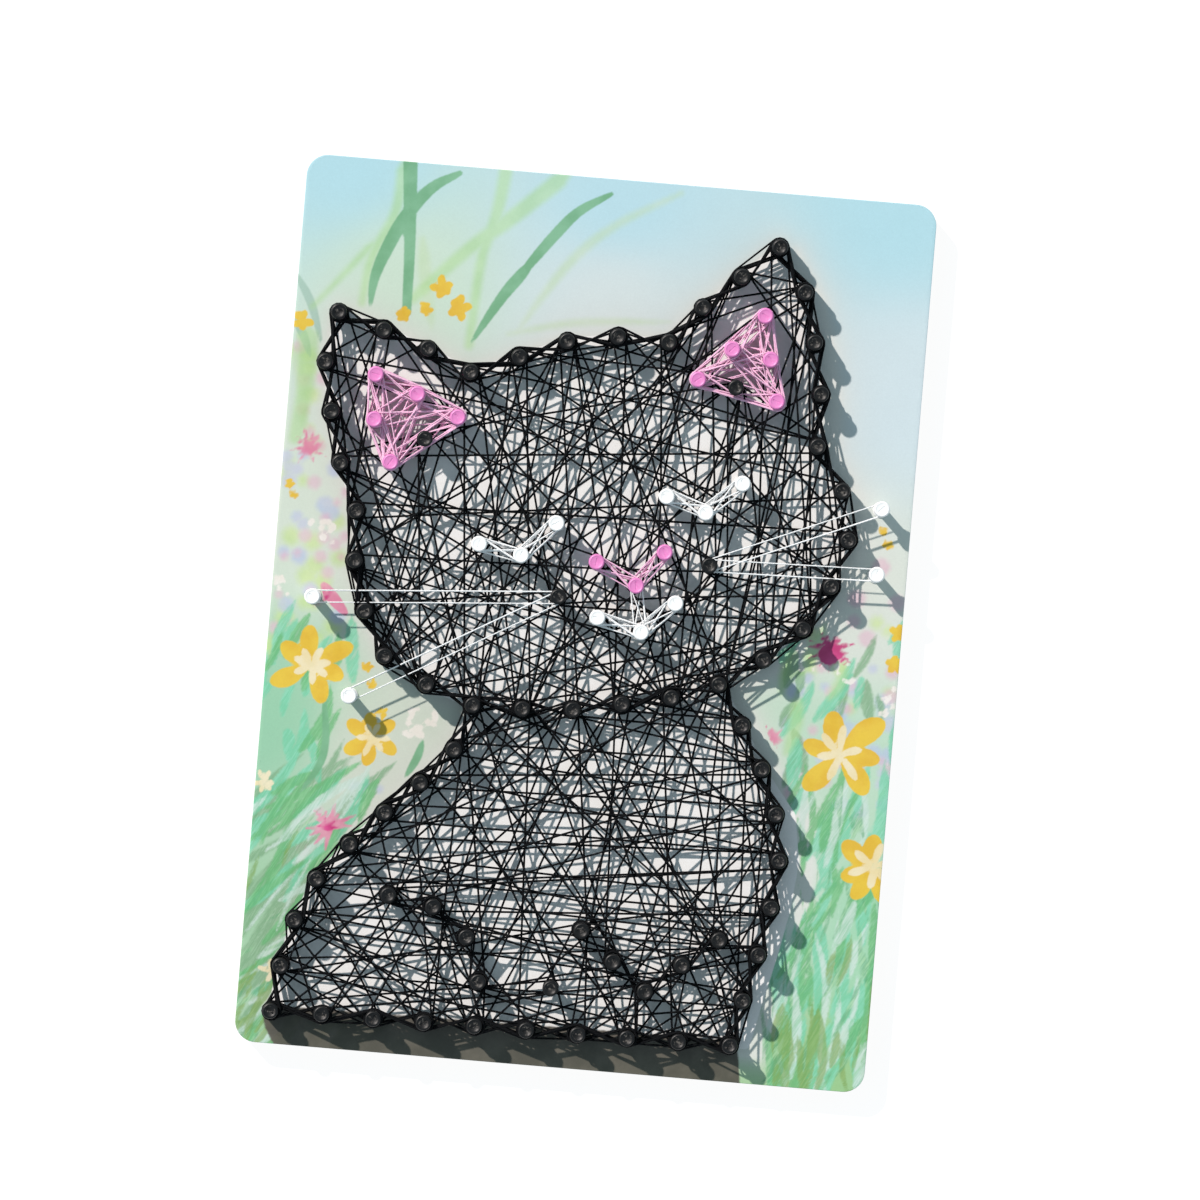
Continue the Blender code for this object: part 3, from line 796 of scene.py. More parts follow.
def printed_paint(layers):
    """The print: washes, then each drawn layer with its own edge, strength and colours."""
    finish = Finish("printed_paint", IOR=1.45)
    rough_edge = finish.noise(finish.scaled(finish.place, 1.1), detail=4, roughness=0.65) - 0.5
    bristle = finish.noise(finish.stretched(1.6, 0.16, 0.2, 28), detail=3, roughness=0.6)
    cloud = finish.noise(finish.scaled(finish.place, 0.16), detail=3)
    colour = finish.attribute("wash", "Color")
    streaks = finish.spread(bristle, 0.4, 0.66)
    dryness = finish.spread(bristle, 0.3, 0.5)
    blotch = finish.spread(cloud, 0.35, 0.65)
    for name, (soft, ragged, strength, low, high) in layers.items():
        depth = finish.attribute(name) + rough_edge * ragged
        cover = finish.spread(depth, -soft, soft) * strength
        brushed = name.endswith("strokes")
        if brushed:
            cover = cover * (0.5 + 0.5 * dryness)
        tint = finish.between(streaks if brushed else blotch, linear(*low), linear(*high))
        colour = finish.between(cover, colour, tint)
    grain = finish.noise(finish.scaled(finish.place, 2.2), detail=4, roughness=0.85)
    mottle = 0.81 + 0.17 * grain + 0.03 * cloud
    inputs = {0: colour, "Scale": mottle}
    colour = finish.node("ShaderNodeVectorMath", {"operation": "SCALE"}, inputs)
    surface = finish.bump(grain, 0.25, 0.03)
    roughness = 0.5 + 0.2 * grain
    return finish.done(Base_Color=colour, Roughness=roughness, Normal=surface)


# Each drawn layer: softness and raggedness of its edge in mm, its strength, two colours.
LAYERS = {
    "lime_dabs": (1.4, 1.4, 0.6, (190, 220, 122), (206, 228, 140)),
    "lavender_dabs": (0.9, 1.2, 0.7, (184, 196, 226), (200, 202, 224)),
    "rose_dabs": (0.9, 1.2, 0.7, (224, 184, 200), (228, 196, 208)),
    "faint_blades": (1.0, 0.8, 0.5, (190, 216, 164), (202, 220, 180)),
    "sage_strokes": (0.4, 0.9, 0.85, (120, 166, 124), (146, 186, 148)),
    "mint_strokes": (0.4, 1.0, 0.85, (112, 204, 162), (142, 216, 184)),
    "green_strokes": (0.35, 0.9, 0.85, (98, 178, 112), (126, 196, 136)),
    "pale_strokes": (0.35, 0.9, 0.8, (196, 222, 208), (214, 230, 222)),
    "olive_strokes": (0.3, 0.8, 0.75, (124, 162, 82), (142, 176, 102)),
    "fine_strokes": (0.25, 0.5, 0.7, (92, 164, 116), (170, 214, 168)),
    "slate_blades": (0.3, 0.4, 0.8, (150, 184, 168), (164, 196, 180)),
    "light_blades": (1.0, 0.5, 0.6, (168, 212, 138), (182, 220, 154)),
    "dark_blades": (0.25, 0.3, 0.95, (112, 172, 128), (128, 184, 144)),
    "blossoms": (0.25, 0.5, 0.9, (240, 232, 222), (246, 240, 234)),
    "yellow_petals": (0.2, 0.3, 0.97, (230, 184, 46), (236, 198, 58)),
    "cream_petals": (0.2, 0.35, 0.96, (238, 220, 170), (242, 230, 196)),
    "pink_petals": (0.25, 0.4, 0.88, (226, 116, 158), (236, 158, 184)),
    "magenta_petals": (0.25, 0.4, 0.95, (196, 34, 116), (224, 74, 146)),
    "white_cat": (0.16, 0.25, 1.0, (250, 249, 247), (252, 251, 250)),
    "ground": (0.3, 0.6, 0.97, (78, 73, 64), (96, 90, 80)),
}


def make_sheet():
    mesh, places = sheet_mesh()
    drawing = Drawing(places)
    low_chest = [pin + Vector((CHEST_MARGIN, 0)) for pin in chest[3:]]
    cat = head_outline + chest[1:3] + low_chest + base[-2::-1] + back[-2::-1]
    cat += head_outline_left[-2:0:-1]
    drawing.area("white_cat", cat, CAT_MARGIN)
    draw_blades(drawing)
    draw_meadow(drawing)
    draw_flowers(drawing)
    strip = [(-68.5, -96), (43.5, -95), (44.5, -99), (45.5, -106), (-64.5, -106), (-67.5, -101)]
    drawing.area("ground", strip, 0.0)
    for name in LAYERS:
        values = drawing.layer(name).astype(np.float32)
        mesh.attributes.new(name, "FLOAT", "POINT").data.foreach_set("value", values)
    wash = np.ones((len(places), 4), np.float32)
    drawing.area("glow", [corner + GLOW_SHIFT for corner in cat], CAT_MARGIN)
    glow = np.maximum(drawing.layer("white_cat"), drawing.layer("glow"))
    wash[:, :3] = wash_colours(places, glow)
    attribute = mesh.attributes.new("wash", "FLOAT_COLOR", "POINT")
    attribute.data.foreach_set("color", wash.ravel())
    mesh.materials.append(printed_paint(LAYERS))
    settle(add_object("printed_sheet", mesh), "printed_sheet", "picture_sheet")


# ---- The board under the sheet --------------------------------------------------------


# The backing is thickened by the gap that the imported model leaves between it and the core.
LAYER_GAP = 0.3
SLAB_EDGE = 0.12
TIP_CLEARANCE = 0.4


def rounded_slab(name, bottom, top, edge):
    """A board layer with rounded corners and softened edges."""
    bm = bmesh.new()
    outline = []
    for quarter, (right, up) in enumerate([(1, 1), (-1, 1), (-1, -1), (1, -1)]):
        centre_x = right * (BOARD_WIDTH / 2 - CORNER_RADIUS)
        centre_y = up * (BOARD_HEIGHT / 2 - CORNER_RADIUS)
        for step in range(CORNER_ROWS):
            angle = math.pi / 2 * (quarter + step / (CORNER_ROWS - 1))
            x = centre_x + CORNER_RADIUS * math.cos(angle)
            y = centre_y + CORNER_RADIUS * math.sin(angle)
            outline.append(bm.verts.new((x * MM, y * MM, bottom * MM)))
    face = bm.faces.new(outline)
    raised = bmesh.ops.extrude_face_region(bm, geom=[face])["geom"]
    corners = [item for item in raised if isinstance(item, bmesh.types.BMVert)]
    bmesh.ops.translate(bm, verts=corners, vec=(0, 0, (top - bottom) * MM))
    bmesh.ops.recalc_face_normals(bm, faces=bm.faces)
    rims = [e for e in bm.edges if abs(e.verts[0].co.z - e.verts[1].co.z) < 1e-7]
    bmesh.ops.bevel(bm, geom=rims, offset=edge * MM, segments=2, profile=0.5, affect="EDGES")
    mesh = bpy.data.meshes.new(name)
    bm.to_mesh(mesh)
    bm.free()
    mesh.shade_smooth()
    mesh.set_sharp_from_angle(angle=math.radians(35))
    return mesh


def drilling_recipe():
    """A slab with a round blind hole under each pin."""
    inputs = {"Pins": "Object", "Hole radius": "Float", "Hole depth": "Float",
              "Face": "Float", "Sides": "Int", "Material": "Material"}
    recipe = Recipe("drill_holes", inputs)
    sizes = {"Vertices": recipe.given("Sides"), "Radius": recipe.given("Hole radius"),
             "Depth": recipe.given("Hole depth") * 2}
    drill = recipe.node("GeometryNodeMeshCylinder", {"fill_type": "NGON"}, sizes)
    lift = recipe.node("ShaderNodeCombineXYZ", None, {"Z": recipe.given("Face")})
    inputs = {"Geometry": drill, "Translation": lift}
    drill = recipe.node("GeometryNodeTransform", None, inputs)
    inputs = {0: recipe.given("Pins")}
    places = recipe.node("GeometryNodeObjectInfo", None, inputs, output="Geometry")
    inputs = {"Points": places, "Instance": drill}
    drills = recipe.node("GeometryNodeInstanceOnPoints", None, inputs)
    drills = recipe.node("GeometryNodeRealizeInstances", None, {0: drills})
    settings = {"operation": "DIFFERENCE", "solver": "EXACT"}
    inputs = {0: recipe.given("Geometry"), 1: drills}
    drilled = recipe.node("GeometryNodeMeshBoolean", settings, inputs)
    return recipe.done(drilled, recipe.given("Material"))


def pin_places(name, pins, height=0.0):
    """A mesh with one loose point at each pin."""
    mesh = bpy.data.meshes.new(name)
    mesh.from_pydata([(x * MM, y * MM, height * MM) for x, y in pins], [], [])
    return mesh


def make_board():
    guide = add_object("hole_places", pin_places("hole_places", all_pins))
    values = {
        "Pins": guide,
        "Hole radius": STEM_RADIUS * MM,
        "Hole depth": (core_high.z - SHANK_END + TIP_CLEARANCE) * MM,
        "Face": core_high.z * MM,
        "Sides": 16,
        "Material": pressed_fibre(),
    }
    slab = rounded_slab("fibre_core", backing_high.z + LAYER_GAP, core_high.z, SLAB_EDGE)
    core = made_with(drilling_recipe(), "fibre_core", slab, values)
    bpy.data.objects.remove(guide)
    settle(core, "core_fibre", "board_core")

    card = rounded_slab("backing_card", backing_low.z, backing_high.z + LAYER_GAP, SLAB_EDGE)
    card.materials.append(grey_card())
    settle(add_object("backing_card", card), "backing_card", "backing_sheet")


# ---- The pins -------------------------------------------------------------------------

PIN_SIDES = 24
SLOT_WIDTH = 0.45
SLOT_LENGTH = 2.0
SLOT_DEPTH = 0.16
SLOT_EDGE = 0.12
HEAD_RIM = 0.42
# The painted highlight patches keep this far in from the head's edge.
RIM_WITHOUT_HIGHLIGHT = 0.6
PIN_LEAN = 0.012


def pin_profile(dish):
    """The pin's outline as (radius, height), up to its head, whose top is dish deep."""
    rim = HEAD_RIM
    low = STEM_TOP
    flat = HEAD_RADIUS - rim
    points = [(0, SHANK_END), (0.3, SHANK_END + 0.05), (0.48, SHANK_END + 0.5)]
    points += [(0.9, FACE), (1.75, FACE + 0.04), (1.9, FACE + 0.2), (1.86, FACE + 0.36)]
    points += [(1.45, FACE + 0.62), (1.2, STEM_BOTTOM), (STEM_RADIUS, STEM_BOTTOM + 0.3)]
    points += [(STEM_RADIUS, low - 0.3), (1.25, low - 0.06), (flat, low)]
    for step in range(1, 4):
        angle = math.pi / 2 * step / 3
        points.append((flat + math.sin(angle) * rim * 0.95, low + rim * (1 - math.cos(angle))))
    top = HEAD_TOP - 0.02
    for step in range(4):
        angle = math.pi / 2 * step / 3
        side = flat + math.cos(angle) * rim
        points.append((side, top - rim + math.sin(angle) * rim))
    for share in (0.9, 0.72, 0.45, 0.2, 0):
        points.append((flat * share, top - 0.06 - dish * (1 - share**2)))
    return points


def pin_mesh(dish):
    """One moulded pin with a shallow slot across its dished head."""
    bm = bmesh.new()
    line = [bm.verts.new((radius * MM, 0, height * MM)) for radius, height in pin_profile(dish)]
    edges = [bm.edges.new(pair) for pair in zip(line, line[1:])]
    bmesh.ops.spin(
        bm, geom=line + edges, cent=(0, 0, 0), axis=(0, 0, 1), angle=math.tau, steps=PIN_SIDES
    )
    bmesh.ops.remove_doubles(bm, verts=bm.verts, dist=0.002 * MM)
    bmesh.ops.recalc_face_normals(bm, faces=bm.faces)
    mesh = bpy.data.meshes.new("pin")
    bm.to_mesh(mesh)
    bm.free()
    pin = add_object("pin_blank", mesh)

    bm = bmesh.new()
    bmesh.ops.create_cube(bm, size=1)
    depth = SLOT_DEPTH + dish
    size = Matrix.Diagonal((SLOT_LENGTH * MM, SLOT_WIDTH * MM, 2 * depth * MM, 1))
    bmesh.ops.transform(bm, verts=bm.verts, matrix=Matrix.Translation((0, 0, HEAD_TOP * MM)) @ size)
    bmesh.ops.bevel(
        bm, geom=bm.edges[:], offset=SLOT_EDGE * MM, segments=1, profile=0.5, affect="EDGES"
    )
    slot_mesh = bpy.data.meshes.new("slot")
    bm.to_mesh(slot_mesh)
    bm.free()
    slot = add_object("slot_cutter", slot_mesh)
    cut = pin.modifiers.new("Slot", "BOOLEAN")
    cut.operation = "DIFFERENCE"
    cut.solver = "EXACT"
    cut.object = slot
    made = plain_mesh(pin)
    bpy.data.objects.remove(pin)
    bpy.data.objects.remove(slot)
    made.shade_smooth()
    made.set_sharp_from_angle(angle=math.radians(38))
    # Marks the top of the head, where the plastic gets its painted highlight patches.
    dished = made.attributes.new("dish", "FLOAT", "POINT")
    for vertex, mark in zip(made.vertices, dished.data):
        across = math.hypot(vertex.co.x, vertex.co.y) / MM
        on_top = vertex.co.z / MM > HEAD_TOP - HEAD_HEIGHT / 2
        mark.value = 1.0 if on_top and across < HEAD_RADIUS - RIM_WITHOUT_HIGHLIGHT else 0.0
    return made


def pin_recipe():
    """A pin at each point, turned to a random side and leaning a touch."""
    inputs = {"Pin": "Object", "Lean": "Float", "Seed": "Int", "Material": "Material"}
    recipe = Recipe("set_pins", inputs)
    lean = recipe.given("Lean")
    low = recipe.node("ShaderNodeCombineXYZ", None, {"X": -1 * lean, "Y": -1 * lean})
    high = recipe.node("ShaderNodeCombineXYZ", None, {"X": lean, "Y": lean, "Z": math.tau})
    settings = {"data_type": "FLOAT_VECTOR"}
    inputs = {0: low, 1: high, "Seed": recipe.given("Seed")}
    turn = recipe.node("FunctionNodeRandomValue", settings, inputs)
    pin = recipe.node("GeometryNodeObjectInfo", None, {0: recipe.given("Pin")}, "Geometry")
    inputs = {"Points": recipe.given("Geometry"), "Instance": pin, "Rotation": turn}
    pins = recipe.node("GeometryNodeInstanceOnPoints", None, inputs)
    return recipe.done(pins, recipe.given("Material"))


def make_pins():
    recipe = pin_recipe()
    # Each row: piece, places, slot, dish depth, IOR, strength of the painted highlight patches,
    # colour, paler colour, and the colour painted as highlight in the dish (a faint grey on the
    # white pins).
    rows = (
        ("black_pins", black_pins, "black_plastic", 0.36, 1.4, 0.8,
         linear(12, 12, 13), linear(26, 25, 26), linear(104, 99, 94)),
        ("pink_pins", pink_pins, "pink_plastic", 0.16, 1.45, 0.3,
         linear(226, 122, 190), linear(234, 146, 204), linear(240, 170, 214)),
        ("white_pins", white_pins, "white_plastic", 0.1, 1.45, 0.3,
         linear(248, 249, 248), linear(253, 253, 252), linear(240, 242, 242)),
    )
    materials = {m["node"]: m["material_slot"] for m in frame["record"]["subparts"]}
    for seed, row in enumerate(rows):
        name, places, slot, dish, gloss, painted_highlight, colour, pale, highlight_tint = row
        pin = add_object("pin_pattern", pin_mesh(dish))
        values = {"Pin": pin, "Lean": PIN_LEAN, "Seed": seed + 5,
                  "Material": moulded_plastic(slot, colour, pale, gloss, highlight_tint, painted_highlight)}
        pins = made_with(recipe, name, pin_places(name, places), values)
        nodes = [node for node, of_slot in materials.items() if of_slot == slot]
        settle(pins, slot, *nodes)
        bpy.data.objects.remove(pin)


# ---- The threads ----------------------------------------------------------------------


class Stop:
    """A pin that a thread goes round: which way, how far out, how high and how many turns."""

    def __init__(self, pin, side, reach, level, turns=0):
        self.pin = pin
        self.side = side
        self.reach = reach
        self.level = level
        self.turns = turns


def aside(direction, side):
    """The unit vector to a runner's right for a left turn (side 1), or left for a right one."""
    return Vector((direction.y, -direction.x)) * side


def leg_directions(stops):
    """The direction of each straight leg, which touches the coil at both of its pins."""
    directions = []
    for a, b in zip(stops, stops[1:]):
        apart = b.pin - a.pin
        swing = math.asin((a.reach * a.side - b.reach * b.side) / apart.length)
        apart.rotate(Matrix.Rotation(swing, 2))
        directions.append(apart.normalized())
    return directions


def with_passed_pins(stops, clearance):
    """The stops, with each pin that stands in a leg's way added as one that it bends round."""
    for _ in range(2):
        longer = []
        for a, b, direction in zip(stops, stops[1:], leg_directions(stops)):
            start = a.pin + aside(direction, a.side) * a.reach
            length = (b.pin + aside(direction, b.side) * b.reach - start).length
            in_way = []
            for other in all_pins:
                along = (other - start).dot(direction)
                off = (other - start).cross(direction)
                if other not in (a.pin, b.pin) and 0 < along < length and abs(off) < clearance:
                    level = a.level + (b.level - a.level) * along / length
                    in_way.append((along, Stop(other, 1 if off < 0 else -1, clearance, level)))
            longer.append(a)
            longer += [stop for _, stop in sorted(in_way, key=lambda passed: passed[0])]
        longer.append(stops[-1])
        stops = longer
    return stops


def coil_points(stop, arrive, leave, pitch):
    """The points of a thread's way round one pin, rising by pitch for each turn."""
    angle = arrive.angle_signed(leave) * -stop.side
    if angle < -1e-3:
        if stop.turns == 0 and angle > -math.pi / 2:
            angle = 0.0
        else:
            angle += math.tau
    angle += math.tau * stop.turns
    steps = max(2, math.ceil(angle / math.radians(28)))
    points = []
    for i in range(steps + 1):
        offset = aside(arrive, stop.side) * stop.reach
        offset.rotate(Matrix.Rotation(stop.side * angle * i / steps, 2))
        rise = pitch * angle / math.tau * (i / steps - 0.5)
        points.append((*(stop.pin + offset), stop.level + rise))
    return points


def wound(stops, thickness):
    """The points of a thread that runs through its stops."""
    stops = with_passed_pins(stops, STEM_RADIUS + thickness / 2)
    directions = leg_directions(stops)
    directions = directions[:1] + directions + directions[-1:]
    points = []
    for stop, arrive, leave in zip(stops, directions, directions[1:]):
        points += coil_points(stop, arrive, leave, thickness * 1.08)
    return points


def thread_recipe():
    """Lines made into round thread, with its lay: round the thread and along it."""
    inputs = {"Thickness": "Float", "Sides": "Int", "Material": "Material"}
    recipe = Recipe("spin_thread", inputs)
    lines = recipe.node("GeometryNodeMeshToCurve", None, {"Mesh": recipe.given("Geometry")})
    captured = {"captured": [("FLOAT", "Along")]}
    measure = recipe.node("GeometryNodeSplineParameter", None, None, output="Length")
    lines = recipe.node("GeometryNodeCaptureAttribute", captured, {0: lines, 1: measure})
    along = Wire(lines.socket.node.outputs[1])
    inputs = {"Resolution": recipe.given("Sides"), "Radius": recipe.given("Thickness") * 0.5}
    ring = recipe.node("GeometryNodeCurvePrimitiveCircle", {"mode": "RADIUS"}, inputs)
    captured = {"captured": [("FLOAT", "Around")]}
    measure = recipe.node("GeometryNodeSplineParameter", None, None, output="Factor")
    ring = recipe.node("GeometryNodeCaptureAttribute", captured, {0: ring, 1: measure})
    around = Wire(ring.socket.node.outputs[1])
    inputs = {"Curve": lines, "Profile Curve": ring, "Fill Caps": True}
    tube = recipe.node("GeometryNodeCurveToMesh", None, inputs)
    settings = {"data_type": "FLOAT", "domain": "FACE"}
    face_mean = recipe.node("GeometryNodeFieldOnDomain", settings, {0: around})
    first = around.maths("LESS_THAN", around, 0.01)
    late = around.maths("GREATER_THAN", face_mean, 0.3)
    lay = recipe.node("ShaderNodeCombineXYZ", None, {"X": around + first * late, "Y": along})
    settings = {"data_type": "FLOAT_VECTOR", "domain": "CORNER"}
    inputs = {"Geometry": tube, "Name": "lay", "Value": lay}
    tube = recipe.node("GeometryNodeStoreNamedAttribute", settings, inputs)
    tube = recipe.node("GeometryNodeSetShadeSmooth", None, {"Geometry": tube})
    return recipe.done(tube, recipe.given("Material"))


THREAD_RECIPE = thread_recipe()


def spin_threads(name, lines, thickness, sides, material):
    """One piece with a thread along each line of points."""
    points = [point for line in lines for point in line]
    edges = []
    start = 0
    for line in lines:
        edges += [(i, i + 1) for i in range(start, start + len(line) - 1)]
        start += len(line)
    mesh = bpy.data.meshes.new(name)
    mesh.from_pydata([(x * MM, y * MM, z * MM) for x, y, z in points], edges, [])
    values = {"Thickness": thickness * MM, "Sides": sides, "Material": material}
    return made_with(THREAD_RECIPE, name, mesh, values)


WEB_LAYERS = 2
FIRST_LAYER = 0.52
LAYER_STEP = 0.86
WEB_LOW = FACE + 1.4
WEB_HIGH = FACE + 6.4
PATCH = 4
PATCHES = 56
SHORTEST_LEG = 13
LEG_SAMPLES = 24
DIRECTIONS = 4
OUTLINE_GRACE = 1.1
HOLE_GRACE = 0.6
OPEN_DEPTH = 4.5


def turn_side(before, here, after):
    return 1 if (here - before).cross(after - here) >= 0 else -1


def web_stops(route, pick):
    """Stops for a route of pins, each at a random height and in one of the layers on its pin."""
    stops = []
    last = len(route) - 1
    for i, pin in enumerate(route):
        before = route[max(i - 1, 0)]
        after = route[min(i + 1, last)]
        side = turn_side(before, pin, after) if 0 < i < last else 1
        layer = pick.randrange(WEB_LAYERS)
        reach = STEM_RADIUS + BLACK_THREAD * (FIRST_LAYER + layer * LAYER_STEP)
        stops.append(Stop(pin, side, reach, pick.uniform(WEB_LOW, WEB_HIGH)))
    return stops


class Leg:
    """A straight way between two pins, the patches of the web under it, and its direction."""

    def __init__(self, ends, length, patches, lean):
        self.ends = ends
        self.length = length
        self.rows, self.columns = patches.T
        self.way = int(lean * DIRECTIONS / 180) % DIRECTIONS
        self.lean = lean
        self.used = False


class Web:
    """A web while it is wound: the legs that it may take, and how full each patch is."""

    def __init__(self, pins, outline, holes, seed, favoured):
        self.pins = pins
        self.pick = random.Random(seed)
        self.favoured = favoured
        self.load = np.zeros((DIRECTIONS, PATCHES, PATCHES))
        self.legs = [[] for _ in pins]
        pairs = [(i, j) for i in range(len(pins)) for j in range(i)]
        pairs = [(i, j) for i, j in pairs if (pins[i] - pins[j]).length > SHORTEST_LEG]
        starts = np.array([tuple(pins[i]) for i, _ in pairs])[:, None]
        ends = np.array([tuple(pins[j]) for _, j in pairs])[:, None]
        shares = np.linspace(0, 1, LEG_SAMPLES + 2)[1:-1, None]
        places = starts + shares * (ends - starts)
        drawing = Drawing(places.reshape(-1, 2))
        drawing.area("inside", outline, OUTLINE_GRACE)
        depths = drawing.layer("inside")
        deepest = depths.reshape(len(pairs), -1).max(1)
        for hole in holes:
            drawing.area("hole", hole, -HOLE_GRACE)
            depths = np.minimum(depths, -drawing.layer("hole"))
        depths = depths.reshape(len(pairs), -1).min(1)
        patches = (places // PATCH).astype(int) + PATCHES // 2
        for pair, depth, middle, under in zip(pairs, depths, deepest, patches):
            if depth > 0 and middle > OPEN_DEPTH:
                along = pins[pair[1]] - pins[pair[0]]
                lean = math.degrees(math.atan2(along.y, along.x)) % 180
                leg = Leg(pair, along.length, under, lean)
                for end in pair:
                    self.legs[end].append(leg)

    def crowding(self, leg):
        """How full a leg's patches are, mostly of thread that runs its way."""
        same = self.load[leg.way, leg.rows, leg.columns]
        whole = self.load[:, leg.rows, leg.columns].sum(0)
        lean, spread, bonus = self.favoured
        off = abs((leg.lean - lean + 90) % 180 - 90)
        favour = bonus * max(0, 1 - off / spread)
        return (whole + 2 * same).mean() + self.pick.uniform(0, 2) - favour

    def routes(self, amount):
        """Routes of pins with about amount millimetres of thread in all, evenly spread."""
        routes = []
        here = 0
        while amount > 0:
            free = [leg for leg in self.legs[here] if not leg.used]
            if not free or not routes:
                here = self.pick.randrange(len(self.pins))
                routes.append([self.pins[here]])
                continue
            leg = min(free, key=self.crowding)
            leg.used = True
            amount -= leg.length
            weight = leg.length / LEG_SAMPLES
            np.add.at(self.load, (leg.way, leg.rows, leg.columns), weight)
            here = leg.ends[0] if leg.ends[1] == here else leg.ends[1]
            routes[-1].append(self.pins[here])
        return [route for route in routes if len(route) > 2]


HEAD_THREAD_LENGTH = 10400
BODY_THREAD_LENGTH = 8900

OUTLINE_ROUNDS = 10
OUTLINE_LOW = FACE + 1.8
OUTLINE_HIGH = FACE + 7.2
OUTLINE_WAVER = 0.3
# The chin, haunch and legs have fewer rounds, at these heights.
INNER_LEVELS = (FACE + 2.4, FACE + 3.8, FACE + 5.2, FACE + 6.6)
# How far out a winding lies on a pin, in thread thicknesses from the stem.
WINDING_LAYERS = (0.52, 1.35, 1.95, 1.95)
CROSS_OVER_CHANCE = 0.95


def head_routes():
    outline = head_outline[:-1] + chin[::-1] + cheek_left[-2::-1] + ear_left_outer[-2:0:-1]
    inside = [left_cheek_pin, right_cheek_pin, left_ear_black_pin, right_ear_black_pin]
    web = Web(outline + inside, outline, [left_ear, right_ear], 17, (80, 40, 4))
    return web.routes(HEAD_THREAD_LENGTH)


def body_routes():
    outline = chin + chest[1:] + base[-2::-1] + back[-2:0:-1]
    web = Web(outline + haunch + legs + [paw_pin], outline, [], 23, (6, 25, 4))
    return web.routes(BODY_THREAD_LENGTH)


def outline_lines(pick):
    """The outline's windings: rounds that pass each pin on either side and turn about it."""
    lines = []
    whole = head_outline[:-1] + chest + base[-2::-1] + back[-2::-1]
    whole += cheek_left[-2::-1] + ear_left_outer[-2::-1]
    for step in range(OUTLINE_ROUNDS):
        level = OUTLINE_LOW + (OUTLINE_HIGH - OUTLINE_LOW) * step / (OUTLINE_ROUNDS - 1)
        lines.append(outline_round(whole, level, pick))
    for run in (chin, haunch + [base[4]], legs[:3] + [base[7]], legs[2:][::-1]):
        for level in INNER_LEVELS:
            lines.append(outline_round(run, level, pick))
    return lines


def outline_round(run, level, pick):
    """One round: it mostly crosses over between pins, and turns once about each."""
    stops = []
    side = pick.choice((-1, 1))
    for pin in run:
        if pick.random() < CROSS_OVER_CHANCE:
            side = -side
        reach = STEM_RADIUS + BLACK_THREAD * pick.choice(WINDING_LAYERS)
        height = level + pick.uniform(-OUTLINE_WAVER, OUTLINE_WAVER)
        stops.append(Stop(pin, side, reach, height, 1))
    return wound(stops, BLACK_THREAD)


def make_black_threads():
    # The dark colour is painted shade in the thread's grooves, the paler one lies on its crests.
    dark = linear(3, 4, 6)
    pale = linear(17, 18, 21)
    material = twisted_thread("black_thread", dark, pale, BLACK_THREAD, gloss=1.2)
    pick = random.Random(41)
    for name, routes, node in (
        ("head_web", head_routes(), "head_thread"),
        ("body_web", body_routes(), "body_thread"),
    ):
        lines = []
        for route in routes:
            lines.append(wound(web_stops(route, pick), BLACK_THREAD))
        web = spin_threads(name, lines, BLACK_THREAD, 8, material)
        settle(web, "black_thread", node)
    outline = spin_threads("outline_windings", outline_lines(pick), BLACK_THREAD, 6, material)
    settle(outline, "black_thread")


HEAD_GAP = 0.35
EAR_WEB_RAISED = 1.2
CLOSEST_TO_STEM = 0.55


def fine_lines(route, rounds, seed, low, high, spread, crossing=0.3):
    """A fine thread wound along a route several times over, there and back.

    spread is how many threads deep it lies on a pin, and crossing how often it goes round a
    pin's far side, so that its legs cross.
    """
    pick = random.Random(seed)
    stops = []
    whole = []
    for i in range(rounds):
        whole += route if i % 2 == 0 else route[-2:0:-1] if i < rounds - 1 else route[-2::-1]
    last = len(whole) - 1
    for i, pin in enumerate(whole):
        side = turn_side(whole[max(i - 1, 0)], pin, whole[min(i + 1, last)]) if 0 < i < last else 1
        if pick.random() < crossing:
            side = -side
        reach = STEM_RADIUS + FINE_THREAD * pick.uniform(CLOSEST_TO_STEM, spread)
        stops.append(Stop(pin, side, reach, pick.uniform(low, high)))
    return wound(stops, FINE_THREAD)


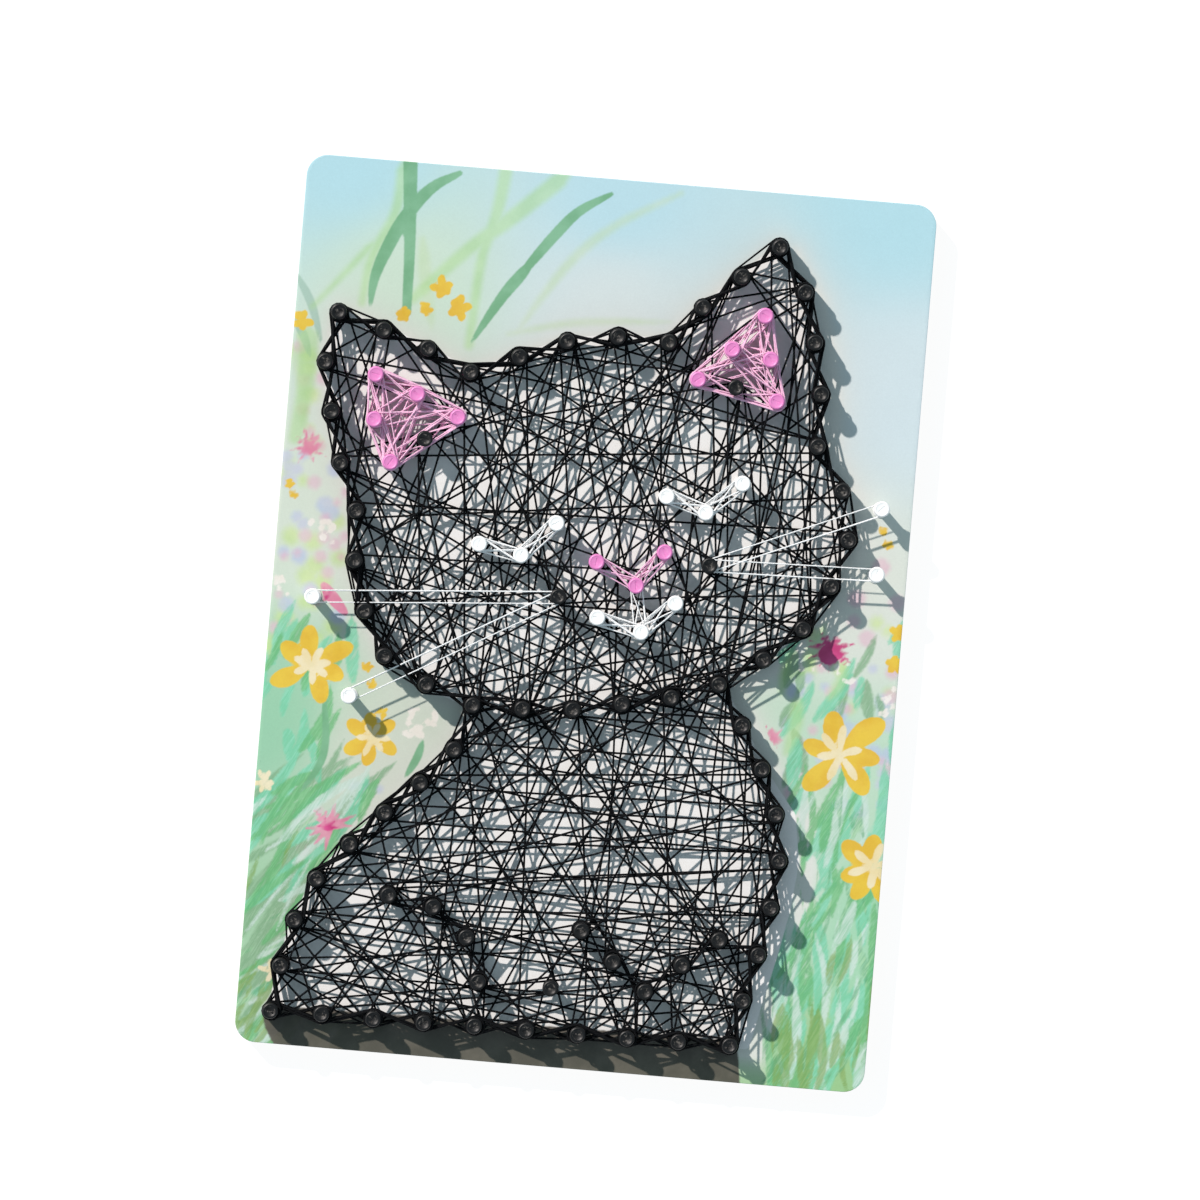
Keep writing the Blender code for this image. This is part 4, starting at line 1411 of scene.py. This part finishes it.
def make_fine_threads():
    # Each thread's first colour is painted shade in its grooves, the second lies on its crests.
    pink = twisted_thread("pink_thread", linear(234, 146, 196), linear(252, 214, 236), FINE_THREAD)
    pale, palest = linear(236, 240, 242), linear(253, 253, 253)
    white = twisted_thread("white_thread", pale, palest, FINE_THREAD)
    high = STEM_TOP - HEAD_GAP
    low = STEM_BOTTOM + EAR_WEB_RAISED
    for name, (a, b, c, d, e), seed in (
        ("left_ear", [left_ear[i] for i in (2, 1, 0, 4, 3)], 3),
        ("right_ear", right_ear, 4),
    ):
        lines = [fine_lines([a, b, c, d, e], 24, seed, low, high, 2.9)]
        lines.append(fine_lines([a, c, e, b, d, a, e], 14, seed + 10, low + 1, high, 2.9))
        lines.append(fine_lines([a, e, c, b, e, a], 9, seed + 20, low + 1, high, 2.9))
        piece = spin_threads(name + "_web", lines, FINE_THREAD, 6, pink)
        settle(piece, "pink_thread", name + "_thread")
    for name, route, material, slot in (
        ("nose", nose, pink, "pink_thread"),
        ("left_eye", left_eye, white, "white_thread"),
        ("right_eye", right_eye, white, "white_thread"),
        ("mouth", mouth, white, "white_thread"),
    ):
        lines = [fine_lines(route, 18, 7, high - 2.4, high, 1.8, 0.5)]
        if name == "mouth":
            lines.append(fine_lines([mouth[1], nose[1]], 8, 9, high - 2.6, high - 0.6, 1.3, 0.5))
        piece = spin_threads(name + "_winding", lines, FINE_THREAD, 6, material)
        settle(piece, slot, name + "_thread")
    for name, cheek, pins in (
        ("left_whiskers", left_cheek_pin, left_whiskers),
        ("right_whiskers", right_cheek_pin, right_whiskers),
    ):
        lines = [fine_lines([cheek, pin], 3, 11, high - 1.2, high, 1.2, 0.0) for pin in pins]
        piece = spin_threads(name, lines, FINE_THREAD, 6, white)
        settle(piece, "white_thread", name[:-1] + "_thread")


# ---- Table, light and camera ----------------------------------------------------------

TABLE_SIZE = 1400
SUN_WAY = (0.76, -0.76, -1.0)
SUN_STRENGTH = 3.65
SUN_SPREAD = math.radians(1.6)
SUN_COLOUR = (1.0, 0.92, 0.87)
FILL_COLOUR = (0.68, 0.885, 1.0, 1)
FILL_STRENGTH = 0.46
CAMERA_DISTANCE = 2400
FRAME_WIDTH = 283
SENSOR_WIDTH = 36
PICTURE_TURN = 4.84
BOARD_LEFT_OF_MIDDLE = 3.36
BOARD_BELOW_MIDDLE = 5.51


def make_stage():
    mesh = bpy.data.meshes.new("table")
    half = TABLE_SIZE / 2 * MM
    top = -0.05 * MM
    corners = [(-half, -half, top), (half, -half, top), (half, half, top), (-half, half, top)]
    mesh.from_pydata(corners, [], [(0, 1, 2, 3)])
    mesh.materials.append(pale_table())
    add_object("table", mesh)

    sun = bpy.data.lights.new("key", "SUN")
    sun.energy = SUN_STRENGTH
    sun.angle = SUN_SPREAD
    sun.color = SUN_COLOUR
    lamp = add_object("key", sun)
    lamp.rotation_mode = "QUATERNION"
    lamp.rotation_quaternion = Vector(SUN_WAY).to_track_quat("-Z", "Y")

    world = bpy.data.worlds.new("soft_fill")
    world.use_nodes = True
    sky = world.node_tree.nodes["Background"]
    sky.inputs["Color"].default_value = FILL_COLOUR
    sky.inputs["Strength"].default_value = FILL_STRENGTH
    bpy.context.scene.world = world


def make_camera():
    """Straight above the board, far off, and turned so that the board leans a little."""
    camera = bpy.data.cameras.new("camera")
    camera.sensor_width = SENSOR_WIDTH
    camera.lens = SENSOR_WIDTH * CAMERA_DISTANCE / FRAME_WIDTH
    camera.clip_start = 0.1
    camera.clip_end = 10
    turn = math.radians(PICTURE_TURN)
    right = Vector((math.cos(turn), math.sin(turn), 0))
    up = Vector((-math.sin(turn), math.cos(turn), 0))
    place = right * BOARD_LEFT_OF_MIDDLE + up * BOARD_BELOW_MIDDLE
    place.z = CAMERA_DISTANCE + FACE
    eye = add_object("camera", camera)
    eye.location = place * MM
    eye.rotation_euler = (0, 0, turn)
    bpy.context.scene.camera = eye
    bpy.context.scene.view_settings.view_transform = "Standard"


make_stage()
make_camera()
make_sheet()
make_board()
make_pins()
make_black_threads()
make_fine_threads()
